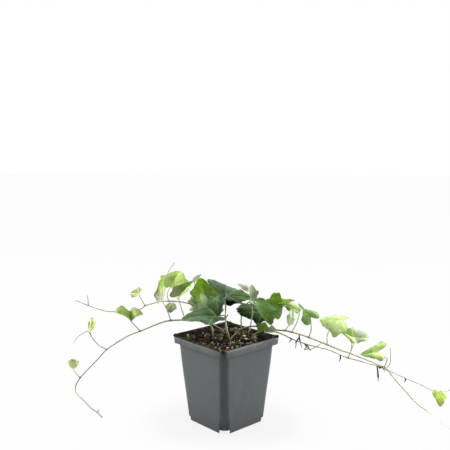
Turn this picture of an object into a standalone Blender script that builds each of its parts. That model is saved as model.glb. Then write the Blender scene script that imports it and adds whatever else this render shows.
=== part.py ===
"""A young English ivy in a square nursery pot: pot, soil, and eight leafy stems.

The frame's origin is the middle of the pot's foot, with Z up. One corner of the pot points along -Y, and
the long runners reach out along -X and +X. Lengths are written in millimetres and become metres as the
meshes are made.
"""
import math

import bmesh
import bpy
from mathutils import Matrix, Vector, noise

MM = 0.001
GAP = 0.3  # between pieces that touch

# The pot: a square 90 mm nursery pot, 100 mm tall. A half is half the width across two flat sides.
POT_HEIGHT = 100.0
RIM_HALF = 45.0
RIM_CORNER = 6.8
NECK_HALF = 42.1
BASE_HALF = 33.2
WALL_CORNER = 9.1
WALL = 1.2
LIP_HEIGHT = 7.5
LIP_WALL = 1.1
LIP_DRAFT = 0.3
FOOT_EDGE = 0.6
CORNER_STEPS = 6

# Drain pockets: a round-ended slot under each corner, open to the outside, with a drain hole in its roof
POCKET_HALF_WIDTH = 5.9
POCKET_HEIGHT = 4.5
POCKET_INNER_END = 32.0
POCKET_REACH = 60.0
POCKET_ROOF_SHOULDER = 39.2
POCKET_ROOF_NOSE = ((42.2, 3.8), (43.0, 0.8))  # sunk in the corner's wall
POCKET_STEPS = 6
DRAIN_RADIUS = 2.6
DRAIN_AT = 33.5

# Soil: its mean height, the fall from the heaped left corner to the low right one, and its lumps
SOIL_MIDDLE = 97.6
SOIL_LEFT = 99.6
SOIL_RIGHT = 93.6
SOIL_REACH = 52.0
SOIL_LUMP = 1.3
SOIL_LUMP_SIZE = 9.0
SOIL_RINGS = (0.94, 0.8, 0.64, 0.48, 0.32, 0.16)
HOLE_FLOOR = 86.0
HOLE_SLACK = 0.35
HOLE_SIDES = 10

# Stems, stalks and rootlets
STEM_SIDES = 6
STALK_SIDES = 5
STEM_STEP = 8.0
STALK_STEP = 6.0
FINE_STEP = 1.0  # where a stalk's foot is looked for along its stem
STALK_RADIUS = 0.6
STALK_SUNK = 1.5
ROOTLET_RADIUS = 0.8
ROOTLET_SIDES = 4
BUD_SIZE = 3.0
BUD_SHAPE = (0.7, 0.6, 1.0)  # its width, depth and height as shares of its size
FLOOR_CLEAR = 0.4
SHORTEST_RUN = 1.0

# Blades
BLADE_THICKNESS = 0.8
BLADE_RINGS = (0.5, 1.0)
UPPER_SIDE = Vector((0, -0.5, 1))  # the way a blade's upper face leans

# Half of a blade's outline, from beside its stalk to its tip: across as a share of the reach to its side
# lobe's tip, and along as a share of its length. The side lobe's own tip is at LOBE_AT along.
OUTLINES = {
    "five": (
        (0.20, -0.12), (0.50, -0.16), (0.76, -0.04), (0.80, 0.14),
        (1.02, 0.36), (0.98, 0.50), (0.74, 0.57), (0.58, 0.72), (0.30, 0.93),
    ),
    "deep": (
        (0.22, -0.13), (0.60, -0.16), (0.92, 0.0), (1.04, 0.22),
        (0.90, 0.40), (0.52, 0.46), (0.20, 0.54), (0.15, 0.74), (0.10, 0.93),
    ),
    "three": (
        (0.26, -0.11), (0.66, -0.10), (1.0, 0.16), (0.97, 0.36), (0.70, 0.52), (0.52, 0.72), (0.26, 0.92),
    ),
}
LOBE_AT = {"five": 0.45, "deep": 0.28, "three": 0.28}
ARCH = 0.07  # how high a blade rises between its ends, as a share of its length

# Colours from the photograph: red, green and blue of each material, and its roughness
POT_COLOR = ((0.13, 0.14, 0.145), 0.55)
SOIL_COLOR = ((0.022, 0.015, 0.008), 0.95)
DARK_LEAF = ((0.030, 0.085, 0.035), 0.45)
PALE_LEAF = ((0.190, 0.330, 0.070), 0.50)


def stem(points, thick, thin):
    """A stem: its points from its end in the soil to its tip, and its widths at both ends."""
    return {"points": points, "thick": thick, "thin": thin, "leaves": [], "rootlets": [], "shoots": []}


def leaf(base, tip, right, left, stalk, kind="five", bow=0.06):
    """A leaf: where its blade meets its stalk, the tips of its three main lobes, and its stalk's points.

    Bow is how high each half of the blade rises between its midrib and its side lobe, as a share of that
    reach.
    """
    return {"base": base, "tip": tip, "right": right, "left": left, "stalk": stalk, "kind": kind, "bow": bow}


STEMS = {
    "runner_left_low": stem(
        [(-4, 20, 92), (-4, 20, 99), (-8, 18, 104), (-16, 16, 109), (-30, 14, 114.5), (-43, 12, 116),
         (-66, 12, 115), (-79, 13, 111.5), (-100, 18, 101.5), (-118, 26, 92.5), (-132, 36, 82.5),
         (-152, 50, 66.5), (-165, 59, 51.5), (-178, 66, 37.5), (-193, 73, 20.5), (-198, 75, 12.5),
         (-200, 74, 5.5), (-196, 66, 1.4), (-180, 42, 1.4), (-168, 23, 1.4), (-159, 12, 1.4),
         (-147, -5, 1.4)],
        2.0, 1.5),
    "runner_left_high": stem(
        [(-16, 24, 92), (-16, 24, 99), (-20, 21, 108), (-28, 17, 121), (-38, 16, 131.5), (-44, 18, 134),
         (-56, 20, 136), (-69, 22, 136), (-80, 24, 135), (-93, 26, 131), (-99, 27, 129), (-104, 27, 125),
         (-123, 26, 121), (-138, 24, 122), (-147, 23, 123), (-158, 21, 127), (-166, 20, 130),
         (-176, 18, 135), (-181, 17, 137)],
        1.9, 1.3),
    "runner_right_high": stem(
        [(6, -11, 92), (6, -11, 99), (10, -12, 105.5), (16.5, -11, 111.5), (27, -10, 115), (37, -8, 114.5),
         (48.5, -6, 112), (57, -5, 110), (68, -4, 109), (76, -3, 107), (86, -2, 104), (97, -1, 100),
         (109, 0, 95), (121, 1, 90), (132, 2, 85), (144, 3, 81), (156, 4, 76), (168, 5, 71), (177, 6, 66.5),
         (185, 7, 63.5), (190, 10, 59), (196, 11, 50.5), (205, 13, 40), (213, 16, 30.5), (223, 20, 19),
         (232, 24, 10), (239, 25, 5), (245, 18, 1.4), (250, 1.5, 1.4), (255, -17.5, 1.4), (258, -34, 1.4)],
        2.0, 1.4),
    "runner_right_low": stem(
        [(31, 6, 92), (31, 6, 99), (36, 8, 102), (43, 9, 104), (51, 10, 104), (57, 10, 103.5),
         (66.5, 11, 100), (75, 12, 95.5), (83, 13, 92), (90, 13, 89.5), (99, 14, 86.5), (110.5, 15, 83.5), (122.5, 16, 80),
         (134.5, 17, 74.5), (144, 18, 70.5), (158.5, 19, 66.5), (170.5, 20, 62.5), (180, 21, 60),
         (188, 22, 56), (197, 22, 52.5), (207, 23, 47.5), (213, 23, 45), (219, 24, 42), (231.5, 25, 36.5),
         (246, 26, 29), (260, 27, 27), (270, 28, 30)],
        1.9, 1.0),
    "stem_left": stem(
        [(-15.5, 4, 92), (-15.5, 4, 99), (-16.5, 5, 106), (-18, 6, 112), (-20.5, 8, 123), (-24, 9, 134),
         (-27, 10, 141), (-29, 10, 147)],
        2.0, 1.3),
    "stem_middle": stem(
        [(3.7, -3, 92), (3.5, -3, 99), (1.5, -5, 107), (0, -5, 115), (-0.5, -4, 123), (-0.5, -3, 133.5),
         (-1, -2, 144)],
        2.8, 1.3),
    "stem_right": stem(
        [(26, 14, 92), (26, 14, 98), (27.5, 11, 105), (28.5, 11, 111), (29.5, 11, 119.5), (30.5, 10, 127),
         (29, 9, 135.5), (26.5, 9, 140)],
        2.0, 1.3),
    "stem_back": stem(
        [(17, 31, 92), (17, 31, 99), (17, 29, 106), (17, 26, 115), (19, 25, 124), (22, 25, 132)],
        1.9, 1.3),
}

STEMS["runner_left_low"]["leaves"] = [
    leaf((-76.5, 8, 142), (-77.5, 8, 165), (-72.5, 14, 154), (-84, 2, 149),
         [(-66, 12, 115), (-69, 9, 126)]),
    leaf((-56.5, 7, 145.5), (-39, 10, 162.5), (-44.5, 1, 153.5), (-60, 3, 158.5),
         [(-48, 12, 116), (-53, 9, 131)]),
    leaf((-110, -5, 117.5), (-116, 14, 124.5), (-97.5, 0, 126.5), (-130.5, 1, 127.5),
         [(-105, 19, 100), (-107, 7, 109)], "three", 0.32),
    leaf((-171.5, 47, 92), (-170, 46, 108.5), (-164, 50, 101), (-173, 43, 101.5),
         [(-152, 50, 66.5), (-161.5, 50, 71.5), (-169.5, 49, 81.5)], "three"),
    leaf((-201.5, 71, 33.5), (-199, 64, 48), (-192, 66, 45), (-206, 66, 46),
         [(-193, 73, 21), (-198, 72, 27)], "three"),
]
STEMS["runner_left_high"]["leaves"] = [
    leaf((-68, 24, 153), (-56.5, 28, 171.5), (-46, 22, 160.5), (-78.5, 27, 165.5),
         [(-69, 22, 136), (-71.5, 23, 143)]),
    leaf((-105.5, 22, 145), (-114.5, 19, 146), (-104.5, 24, 153), (-113, 18, 141),
         [(-99, 27, 129), (-104, 24, 140)], "three"),
    leaf((-64.5, 17, 134.5), (-67.5, 12, 124.5), (-59.5, 13, 129), (-72, 12, 132),
         [(-63, 21, 136), (-63, 19, 136)], "three"),
]
STEMS["runner_right_high"]["leaves"] = [
    leaf((56.5, -3, 124), (58, 3, 151.5), (67.5, 0, 143), (46.5, 0, 144),
         [(52, -6, 111.5), (54, -5, 120)]),
    leaf((61.5, -2, 141), (79, 2, 142.5), (68, -4, 140.5), (67.5, 2, 145),
         [(52, -6, 111.5), (54, -5, 120), (58, -3, 131)], "three"),
    leaf((73.5, -8, 117), (75, -8, 135), (82, -3, 128), (69.5, -12, 128),
         [(68, -4, 109), (71, -6, 114)], "three"),
    leaf((85, 2, 129.5), (64, 5, 138), (75.5, 9, 139.5), (71.5, -1, 132),
         [(76, -3, 107), (82, -2, 119)], "three"),
    leaf((97, -6, 126), (83, 2, 139.5), (104, -4, 131), (87.5, -10, 121),
         [(96, -1, 100), (98, -4, 110)], "deep"),
    leaf((135.5, 1, 120.5), (107.5, -3, 122), (126.5, 8, 125), (123, -8, 103.5),
         [(117, 1, 91), (118, 5, 103), (126, 6, 114)]),
    leaf((175.5, 4, 82.5), (154.5, -3, 81.5), (180, 9, 93.5), (179, 0, 73),
         [(184.5, 7, 63.5), (187, 5, 75)]),
]
STEMS["runner_right_low"]["leaves"] = [
    leaf((46, -13, 111.5), (35.5, -16, 120), (45, -15, 121.5), (36.5, -14, 112.5),
         [(44, 9, 104), (45, 0, 106), (46, -8, 107.5)], "three"),
    leaf((55.5, -10, 110), (44.5, -12, 113.5), (53, -12, 116.5), (47.5, -11, 109),
         [(58, 10, 103.5), (57, 1, 105)], "three"),
    leaf((148, 9, 98), (132, 3, 107.5), (147, 10, 110), (145.5, 5, 93),
         [(144, 18, 70.5), (147, 14, 81), (147, 10, 91)]),
    leaf((150.5, 11, 98), (167.5, 15, 95.5), (158, 14, 106), (153, 9, 91),
         [(144, 18, 70.5), (147.5, 15, 81), (149.5, 12, 92)], "three"),
    leaf((253, 24, 28), (254, 18, 12), (262.5, 22, 22), (246, 22, 25),
         [(251, 26, 28), (252, 25, 29)], "three"),
]
STEMS["stem_left"]["leaves"] = [
    leaf((-24, 4, 145), (-29.5, 10, 167), (-5.5, 1, 147.5), (-42, 2, 151.5),
         [(-24, 9, 134), (-26, 6, 137)]),
    leaf((-11.5, -10, 147), (-7, -22, 130), (-0.5, -19, 144.5), (-21.5, -13, 140),
         [(-27, 10, 141), (-23, 2, 147)]),
    leaf((-38.5, 16, 160.5), (-30, 21, 168.5), (-33.5, 28, 161.5), (-38, 11, 167.5),
         [(-29, 10, 147), (-34, 14, 153)], "three"),
    leaf((-29.5, 2, 150.5), (-34.5, 5, 128), (-19.5, 4, 134), (-43, 6, 140.5),
         [(-25, 9.5, 137), (-29, 6, 144)], "three"),
    leaf((-36, 1, 138.5), (-44.5, 0, 140.5), (-41, 3, 143), (-41, -2, 137),
         [(-24, 9, 134), (-30, 4, 138)], "three"),
    leaf((-33, 6, 133.5), (-42.5, 5, 129), (-36.5, 4, 128), (-40.5, 8, 134),
         [(-22, 8.5, 129), (-28, 7, 133)], "three"),
    leaf((-25, 22, 143), (-30, 42, 147), (-17, 34, 140), (-40, 34, 138.5),
         [(-27, 10, 141), (-26, 16, 146)]),
]
STEMS["stem_middle"]["leaves"] = [
    leaf((-11, -9, 126.5), (-50.5, -18, 123.5), (-24.5, 1, 134), (-19, -25, 120.5),
         [(-0.5, -4, 123), (-2.5, -7, 127)]),
    leaf((0, 2, 147.5), (-22, 17, 164.5), (11.5, 7, 154.5), (-17, 13, 151),
         [(-0.5, -3, 133.5), (-1, 0, 142)]),
    leaf((0.5, -2, 148), (27.5, -5, 146), (17, -12, 142.5), (17.5, 7, 154),
         [(-1, -2, 144), (-1, -3, 146)]),
    leaf((-1.5, 5, 144.5), (18, 1, 141), (5.5, 9, 146.5), (4, -1, 136.5),
         [(-1, -2, 144), (-2, 2, 146)], "three"),
    leaf((3, 14, 142.5), (-4, 36, 139.5), (8.5, 30, 135), (-14.5, 28, 140),
         [(-0.5, -4, 123), (0, 6, 137)]),
]
STEMS["stem_right"]["leaves"] = [
    leaf((30, 6, 142.5), (29.5, 5, 161), (37.5, 2, 153.5), (24.5, 10, 152),
         [(29, 9, 135.5), (30, 7, 139)]),
    leaf((28, 7, 152), (12.5, 15, 159), (24, 10, 158.5), (20, 9, 153.5),
         [(29, 9, 135.5), (30, 7, 139), (30, 7, 143)], "three"),
    leaf((34.5, 4, 139.5), (51.5, -15, 119), (57, -12, 136.5), (42, -7, 124.5),
         [(30, 9.5, 131), (31, 9, 136)]),
]
STEMS["stem_back"]["leaves"] = [
    leaf((43, 21, 123.5), (13.5, 14, 125), (16, 25, 134), (36, 14, 111.5),
         [(19, 25, 124), (28, 24, 129)]),
    leaf((39.5, 31, 123), (52, 46, 126.5), (53, 36, 120.5), (36, 42, 127.5),
         [(22, 25, 132), (28, 27, 134)]),
]

STEMS["runner_left_low"]["shoots"] = [
    [(-152, 50, 66.5), (-161.5, 50, 71.5), (-169.5, 49, 81.5), (-174, 47, 90), (-180.5, 46, 88),
     (-187, 45, 83.5), (-191, 44, 78)],
    [(-155, 6, 1.4), (-153, 5, 6)],
]
STEMS["runner_left_high"]["shoots"] = [
    [(-75, 23, 136), (-75, 33, 152), (-71.5, 32, 168), (-64.5, 30, 179.5)],
    [(-166, 20, 130), (-166.5, 19, 141)],
]
STEMS["runner_right_low"]["shoots"] = [
    [(188, 22, 56), (194, 22, 61.5), (194.5, 21, 72.5), (194, 21, 80.5)],
    [(92, 13, 89), (97, 9, 83), (103, 8, 85.5), (113, 9, 91.5)],
]
STEMS["runner_right_high"]["rootlets"] = [
    [(84, -2, 104), (84.5, -2, 100), (81.5, -3, 95.5), (80.5, -4, 88)],
    [(84.5, -2, 104), (85, -2.5, 99.5), (87.5, -4, 89)],
]
STEMS["runner_right_low"]["rootlets"] = [
    [(73, 12, 96), (76.5, 9.5, 95), (73.5, 10, 90.5)],
    [(92, 13, 89), (94.5, 11, 86.5), (91.5, 10.5, 82), (95.5, 10, 83)],
    [(95.5, 13.5, 87.5), (96.5, 11.5, 84.5), (99.5, 11, 81)],
    [(134.5, 17, 74.5), (135, 16.5, 70.5), (133.5, 16, 66.5)],
    [(180.5, 21, 60), (182.5, 20, 57.5), (184.5, 19.5, 59.5), (188, 19.5, 54)],
    [(179, 21, 60), (180, 20, 53), (180.5, 19, 41.5)],
    [(213, 23, 45), (213.5, 22.5, 42.5), (212, 22, 39.5)],
]
STEMS["stem_middle"]["shoots"] = [
    [(-0.5, -4, 122), (0.5, -4.5, 124), (1.5, -4.5, 125.5)],
]


def material(name, color, roughness):
    """A plain Principled material."""
    made = bpy.data.materials.new(name)
    made.use_nodes = True
    shader = made.node_tree.nodes["Principled BSDF"]
    shader.inputs["Base Color"].default_value = (*color, 1.0)
    shader.inputs["Roughness"].default_value = roughness
    made.diffuse_color = (*color, 1.0)
    return made


def to_object(name, bm):
    """Puts a mesh made in millimetres into the scene, in metres, with its faces pointing out."""
    bmesh.ops.recalc_face_normals(bm, faces=bm.faces)
    if bm.calc_volume(signed=True) < 0:
        bmesh.ops.reverse_faces(bm, faces=bm.faces)
    bmesh.ops.scale(bm, vec=(MM, MM, MM), verts=bm.verts)
    mesh = bpy.data.meshes.new(name)
    bm.to_mesh(mesh)
    bm.free()
    made = bpy.data.objects.new(name, mesh)
    bpy.context.scene.collection.objects.link(made)
    return made


def apply_boolean(target, operation, others, solver="MANIFOLD"):
    """Joins or cuts a solid with a list of others, for good, and removes the others."""
    group = bpy.data.collections.new("operands")
    bpy.context.scene.collection.children.link(group)
    for other in others:
        bpy.context.scene.collection.objects.unlink(other)
        group.objects.link(other)
    modifier = target.modifiers.new("join", "BOOLEAN")
    modifier.operation = operation
    modifier.operand_type = "COLLECTION"
    modifier.collection = group
    modifier.solver = solver
    shape = target.evaluated_get(bpy.context.evaluated_depsgraph_get())
    mesh = bpy.data.meshes.new_from_object(shape)
    target.modifiers.clear()
    target.data = mesh
    for other in others:
        bpy.data.objects.remove(other)
    bpy.data.collections.remove(group)


def square_ring(bm, half, corner, z, cap=False):
    """A square with round corners, whose corners point along X and Y. Returns its points in order."""
    verts = []
    reach = (half - corner) * math.sqrt(2)
    for turn in range(4):
        for step in range(CORNER_STEPS + 1):
            facing = math.radians(90 * turn)
            angle = facing + math.radians(90 * (step / CORNER_STEPS - 0.5))
            x = reach * math.cos(facing) + corner * math.cos(angle)
            y = reach * math.sin(facing) + corner * math.sin(angle)
            verts.append(bm.verts.new((x, y, z)))
    if cap:
        bm.faces.new(verts)
    return verts


def join_rings(bm, ring, other):
    """Four-sided faces between two closed rings of as many points."""
    for a, b, c, d in zip(ring, ring[1:] + ring[:1], other[1:] + other[:1], other):
        bm.faces.new((a, b, c, d))


def square_loft(name, rings):
    """A solid through a stack of square rings, each a half width, a corner radius and a height."""
    bm = bmesh.new()
    before = None
    for index, (half, corner, z) in enumerate(rings):
        ring = square_ring(bm, half, corner, z, cap=index in (0, len(rings) - 1))
        if before:
            join_rings(bm, before, ring)
        before = ring
    return to_object(name, bm)


def wall_half(z):
    """Half the pot's outer width at a height."""
    return BASE_HALF + (NECK_HALF - BASE_HALF) * z / POT_HEIGHT


def pocket_block(name, turn, half_width, low, high, ends):
    """An upright block with a round inner end, reaching out towards one corner of the pot."""
    bm = bmesh.new()
    outline = [(x, -y) for x, y in ends] + list(reversed(ends))
    for step in range(POCKET_STEPS + 1):
        angle = math.radians(90 + 180 * step / POCKET_STEPS)
        outline.append((POCKET_INNER_END + half_width * math.cos(angle), half_width * math.sin(angle)))
    face = bm.faces.new([bm.verts.new((x, y, low)) for x, y in outline])
    grown = bmesh.ops.extrude_face_region(bm, geom=[face])
    raised = [v for v in grown["geom"] if isinstance(v, bmesh.types.BMVert)]
    bmesh.ops.translate(bm, verts=raised, vec=(0, 0, high - low))
    bmesh.ops.rotate(bm, verts=bm.verts, cent=(0, 0, 0), matrix=Matrix.Rotation(turn, 3, "Z"))
    return to_object(name, bm)


def pocket(turn, grow, low, high):
    """The room of a drain pocket, grown by a margin, from the middle of the foot out past the corner."""
    half_width = POCKET_HALF_WIDTH + grow
    return pocket_block("pocket", turn, half_width, low, high, [(POCKET_REACH, half_width)])


def post(name, x, y, low, high, radius, sides):
    """An upright round cutter."""
    bm = bmesh.new()
    place = Matrix.Translation((x, y, (low + high) / 2))
    bmesh.ops.create_cone(bm, cap_ends=True, segments=sides, radius1=radius, radius2=radius,
                          depth=high - low, matrix=place)
    return to_object(name, bm)


def corner_turns():
    """The headings of the pot's four corners."""
    return [math.radians(90 * turn) for turn in range(4)]


def build_pot():
    """The pot: a walled loft with its lip, then a roofed drain pocket with a drain hole at each corner."""
    top = POT_HEIGHT
    under_lip = top - LIP_HEIGHT
    groove = top - 2.0
    lip_inner = RIM_HALF - LIP_WALL - LIP_DRAFT
    inner_corner = WALL_CORNER - WALL
    pot = square_loft("pot", [
        (BASE_HALF - FOOT_EDGE, WALL_CORNER - FOOT_EDGE, 0),
        (wall_half(FOOT_EDGE), WALL_CORNER, FOOT_EDGE),
        (wall_half(under_lip), WALL_CORNER, under_lip),
        (wall_half(groove), WALL_CORNER, groove),
        (lip_inner, RIM_CORNER, groove),
        (lip_inner, RIM_CORNER, under_lip),
        (RIM_HALF - LIP_DRAFT, RIM_CORNER, under_lip),
        (RIM_HALF, RIM_CORNER, top - FOOT_EDGE),
        (RIM_HALF - FOOT_EDGE, RIM_CORNER - FOOT_EDGE, top),
        (wall_half(top) - WALL + FOOT_EDGE, inner_corner, top),
        (wall_half(top) - WALL, inner_corner, top - FOOT_EDGE),
        (wall_half(WALL) - WALL, inner_corner, WALL),
    ])
    wide = POCKET_HALF_WIDTH + WALL
    ends = [(POCKET_ROOF_SHOULDER, wide), *POCKET_ROOF_NOSE]
    roof_top = POCKET_HEIGHT + WALL
    roofs = [pocket_block("roof", turn, wide, FOOT_EDGE, roof_top, ends) for turn in corner_turns()]
    apply_boolean(pot, "UNION", roofs)
    apply_boolean(pot, "DIFFERENCE", [pocket(turn, 0.0, -5, POCKET_HEIGHT) for turn in corner_turns()])
    drains = []
    for turn in corner_turns():
        x = DRAIN_AT * math.cos(turn)
        y = DRAIN_AT * math.sin(turn)
        drains.append(post("drain", x, y, POCKET_HEIGHT - 1, roof_top + 1, DRAIN_RADIUS, 12))
    apply_boolean(pot, "DIFFERENCE", drains)
    pot.data.materials.clear()
    pot.data.materials.append(material("pot_plastic", *POT_COLOR))
    return pot


def soil_height(x, y):
    """The soil's height at a place, with its lumps."""
    share = x / SOIL_REACH
    far = SOIL_RIGHT if share > 0 else SOIL_LEFT
    level = SOIL_MIDDLE + (far - SOIL_MIDDLE) * share * share
    lump = noise.noise(Vector((x, y, 0)) / SOIL_LUMP_SIZE)
    return level + SOIL_LUMP * lump


def build_soil(stem_feet):
    """The soil: it fills the pot, and has a plain hole for each stem."""
    bm = bmesh.new()
    floor = WALL + GAP
    foot = wall_half(floor) - WALL - GAP
    neck_z = SOIL_RIGHT - 3
    neck = wall_half(neck_z) - WALL - GAP
    corner = WALL_CORNER - WALL - GAP
    low_ring = square_ring(bm, foot, corner, floor, cap=True)
    before = square_ring(bm, neck, corner, neck_z)
    join_rings(bm, low_ring, before)
    top_half = wall_half(SOIL_RIGHT - 1) - WALL - GAP
    for share in (1.0, *SOIL_RINGS):
        last = share == SOIL_RINGS[-1]
        ring = square_ring(bm, top_half * share, max(corner * share, 1.0), SOIL_MIDDLE, cap=last)
        for vert in ring:
            vert.co.z = soil_height(vert.co.x, vert.co.y)
        join_rings(bm, before, ring)
        before = ring
    caps = [face for face in bm.faces if len(face.verts) > 4 and face.calc_center_median().z > SOIL_RIGHT]
    bmesh.ops.poke(bm, faces=caps)
    bmesh.ops.triangulate(bm, faces=[face for face in bm.faces if len(face.verts) == 4])
    soil = to_object("soil", bm)
    roof_top = POCKET_HEIGHT + WALL + GAP
    cuts = [pocket(turn, WALL + GAP, -5, roof_top) for turn in corner_turns()]
    apply_boolean(soil, "DIFFERENCE", cuts, solver="EXACT")
    holes = []
    for x, y, radius in stem_feet:
        holes.append(post("hole", x, y, HOLE_FLOOR, POT_HEIGHT + 5, radius + HOLE_SLACK, HOLE_SIDES))
    apply_boolean(soil, "DIFFERENCE", holes, solver="EXACT")
    soil.data.materials.clear()
    soil.data.materials.append(material("potting_soil", *SOIL_COLOR))
    return soil


def smooth_path(points, step):
    """Points along a smooth curve through the given ones, about one step apart."""
    marks = [Vector(p) for p in points]
    ends = [marks[0] * 2 - marks[1]] + marks + [marks[-1] * 2 - marks[-2]]
    path = [marks[0]]
    for before, start, end, after in zip(ends, ends[1:], ends[2:], ends[3:]):
        count = max(1, round((end - start).length / step))
        for index in range(1, count + 1):
            t = index / count
            near = (end - before) * 0.5
            away = (after - start) * 0.5
            place = (start * (2 * t**3 - 3 * t**2 + 1) + near * (t**3 - 2 * t**2 + t)
                     + end * (3 * t**2 - 2 * t**3) + away * (t**3 - t**2))
            if (place - path[-1]).length > SHORTEST_RUN or index == count:
                path.append(place)
    return path


def tube(name, path, first_radius, last_radius, sides):
    """A round tapering solid along a path, closed at both ends."""
    bm = bmesh.new()
    before = None
    normal = None
    for index, place in enumerate(path):
        ahead = path[min(index + 1, len(path) - 1)]
        behind = path[max(index - 1, 0)]
        along = (ahead - behind).normalized()
        if normal is None:
            normal = along.orthogonal().normalized()
        normal = (normal - along * normal.dot(along)).normalized()
        across = along.cross(normal)
        share = index / (len(path) - 1)
        radius = first_radius + (last_radius - first_radius) * share
        ring = []
        for side in range(sides):
            angle = 2 * math.pi * side / sides
            ring.append(bm.verts.new(place + (normal * math.cos(angle) + across * math.sin(angle)) * radius))
        if index in (0, len(path) - 1):
            bm.faces.new(ring)
        if before:
            join_rings(bm, before, ring)
        before = ring
    return to_object(name, bm)


def blade_point(spec, across, along):
    """A point of a blade, arched along its length and bowed across each half."""
    base = Vector(spec["base"])
    chord = Vector(spec["tip"]) - base
    lobe_at = LOBE_AT[spec["kind"]]
    side = Vector(spec["right"] if across > 0 else spec["left"])
    arm = side - base - chord * lobe_at
    up = (Vector(spec["right"]) - Vector(spec["left"])).cross(chord).normalized()
    if up.dot(UPPER_SIDE) < 0:
        up = -up
    middle = min(max(along, 0.0), 1.0)
    reach = min(abs(across), 1.0)
    arch = chord.length * ARCH * 4 * middle * (1 - middle) * (1 - reach * reach)
    bow = arm.length * spec["bow"] * 4 * reach * (1 - reach)
    return base + chord * along + arm * abs(across) + up * (arch + bow)


def blade(name, spec):
    """A leaf's blade: a lobed sheet split into triangles alike on both faces."""
    half = OUTLINES[spec["kind"]]
    outline = [*half, (0.0, 1.0), *[(-x, y) for x, y in reversed(half)]]
    bm = bmesh.new()
    hub = bm.verts.new(spec["base"])
    inner = [hub] * len(outline)
    for share in BLADE_RINGS:
        outer = [bm.verts.new(blade_point(spec, across * share, along * share)) for across, along in outline]
        for left in range(len(outline) - 1):
            bm.faces.new([inner[left], outer[left], outer[left + 1]])
            if inner[left] is not hub:
                bm.faces.new([inner[left], outer[left + 1], inner[left + 1]])
        inner = outer
    bmesh.ops.recalc_face_normals(bm, faces=bm.faces)
    bmesh.ops.solidify(bm, geom=bm.faces[:], thickness=BLADE_THICKNESS)
    return to_object(name, bm)


def bud(name, place):
    """A young leaf still folded, at a shoot's tip."""
    bm = bmesh.new()
    shape = Matrix.Translation(place) @ Matrix.Diagonal((*BUD_SHAPE, 1.0))
    bmesh.ops.create_icosphere(bm, subdivisions=1, radius=BUD_SIZE / 2, matrix=shape)
    return to_object(name, bm)


def nearest(path, point):
    """The place on a path nearest to a point."""
    return min(path, key=lambda place: (place - Vector(point)).length)


def build_stem(name, spec):
    """A leafy stem: its stem, stalks, blades and rootlets, joined as one solid."""
    path = smooth_path([(*spec["points"][0][:2], HOLE_FLOOR + GAP), *spec["points"]], STEM_STEP)
    thick = spec["thick"] / 2
    thin = spec["thin"] / 2
    for place in path:
        place.z = max(place.z, FLOOR_CLEAR + thick)
    fine = smooth_path(path, FINE_STEP)
    made = tube(name, path, thick, thin, STEM_SIDES)
    grown = []
    for number, one in enumerate(spec["leaves"]):
        base = Vector(one["base"])
        along = (Vector(one["tip"]) - base).normalized()
        route = [nearest(fine, one["stalk"][0]), *one["stalk"][1:], base, base + along * STALK_SUNK]
        stalk = smooth_path(route, STALK_STEP)
        grown.append(tube(f"stalk_{number}", stalk, STALK_RADIUS, STALK_RADIUS, STALK_SIDES))
        grown.append(blade(f"blade_{number}", one))
    for number, route in enumerate(spec["shoots"]):
        start = nearest(fine, route[0])
        shoot = smooth_path([start, *route[1:]], STALK_STEP)
        grown.append(tube(f"shoot_{number}", shoot, STALK_RADIUS, STALK_RADIUS, STALK_SIDES))
        grown.append(bud(f"bud_{number}", shoot[-1]))
    for number, route in enumerate(spec["rootlets"]):
        start = nearest(fine, route[0])
        rootlet = smooth_path([start, *route[1:]], STALK_STEP)
        grown.append(tube(f"rootlet_{number}", rootlet, ROOTLET_RADIUS, ROOTLET_RADIUS, ROOTLET_SIDES))
    apply_boolean(made, "UNION", grown)
    color = DARK_LEAF if name.startswith("stem") else PALE_LEAF
    made.data.materials.clear()
    made.data.materials.append(material(f"{name}_leaf", *color))
    return made


def main():
    for old in list(bpy.data.objects):
        bpy.data.objects.remove(old)
    build_pot()
    feet = [(spec["points"][0][0], spec["points"][0][1], spec["thick"] / 2) for spec in STEMS.values()]
    build_soil(feet)
    for name, spec in STEMS.items():
        build_stem(name, spec)


main()
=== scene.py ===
"""A young English ivy in its square nursery pot: lobed leaves, thin bark, crumbly soil and moulded plastic.

Every piece is made in millimetres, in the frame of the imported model, and becomes metres as it is finished.
The stems' points are the same as in the part's source, so each piece stands where its solid does.
"""
import math
import random

import bmesh
import bpy
from mathutils import Matrix, Vector, noise


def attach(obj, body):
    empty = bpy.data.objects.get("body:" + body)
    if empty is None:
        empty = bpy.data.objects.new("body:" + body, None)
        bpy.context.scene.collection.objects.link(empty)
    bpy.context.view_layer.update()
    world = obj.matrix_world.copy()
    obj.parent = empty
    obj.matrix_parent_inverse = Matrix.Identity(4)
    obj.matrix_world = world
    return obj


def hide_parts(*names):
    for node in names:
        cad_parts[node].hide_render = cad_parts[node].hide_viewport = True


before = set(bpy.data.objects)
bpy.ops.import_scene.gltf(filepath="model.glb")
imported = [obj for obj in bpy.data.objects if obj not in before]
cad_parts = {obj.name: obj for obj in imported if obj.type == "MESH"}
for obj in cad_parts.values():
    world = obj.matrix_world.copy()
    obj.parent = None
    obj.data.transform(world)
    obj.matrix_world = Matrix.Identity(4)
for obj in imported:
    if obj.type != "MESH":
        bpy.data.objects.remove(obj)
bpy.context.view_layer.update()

MM = 0.001
MERGE_GAP = 0.002  # points that are nearer to each other than this become one
FULL_TURN = 6.28  # the range of a random turn, in radians

# The camera, from the photograph: its place in millimetres, its tilt and turn in degrees, and its lens
CAMERA_PLACE = (31.8, -751.1, 323.4)
CAMERA_DOWN = 7.03
CAMERA_LEFT = 2.52
CAMERA_LENS = 53.16
SENSOR_WIDTH = 36.0
CAMERA_RANGE = (0.01, 50.0)

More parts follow.
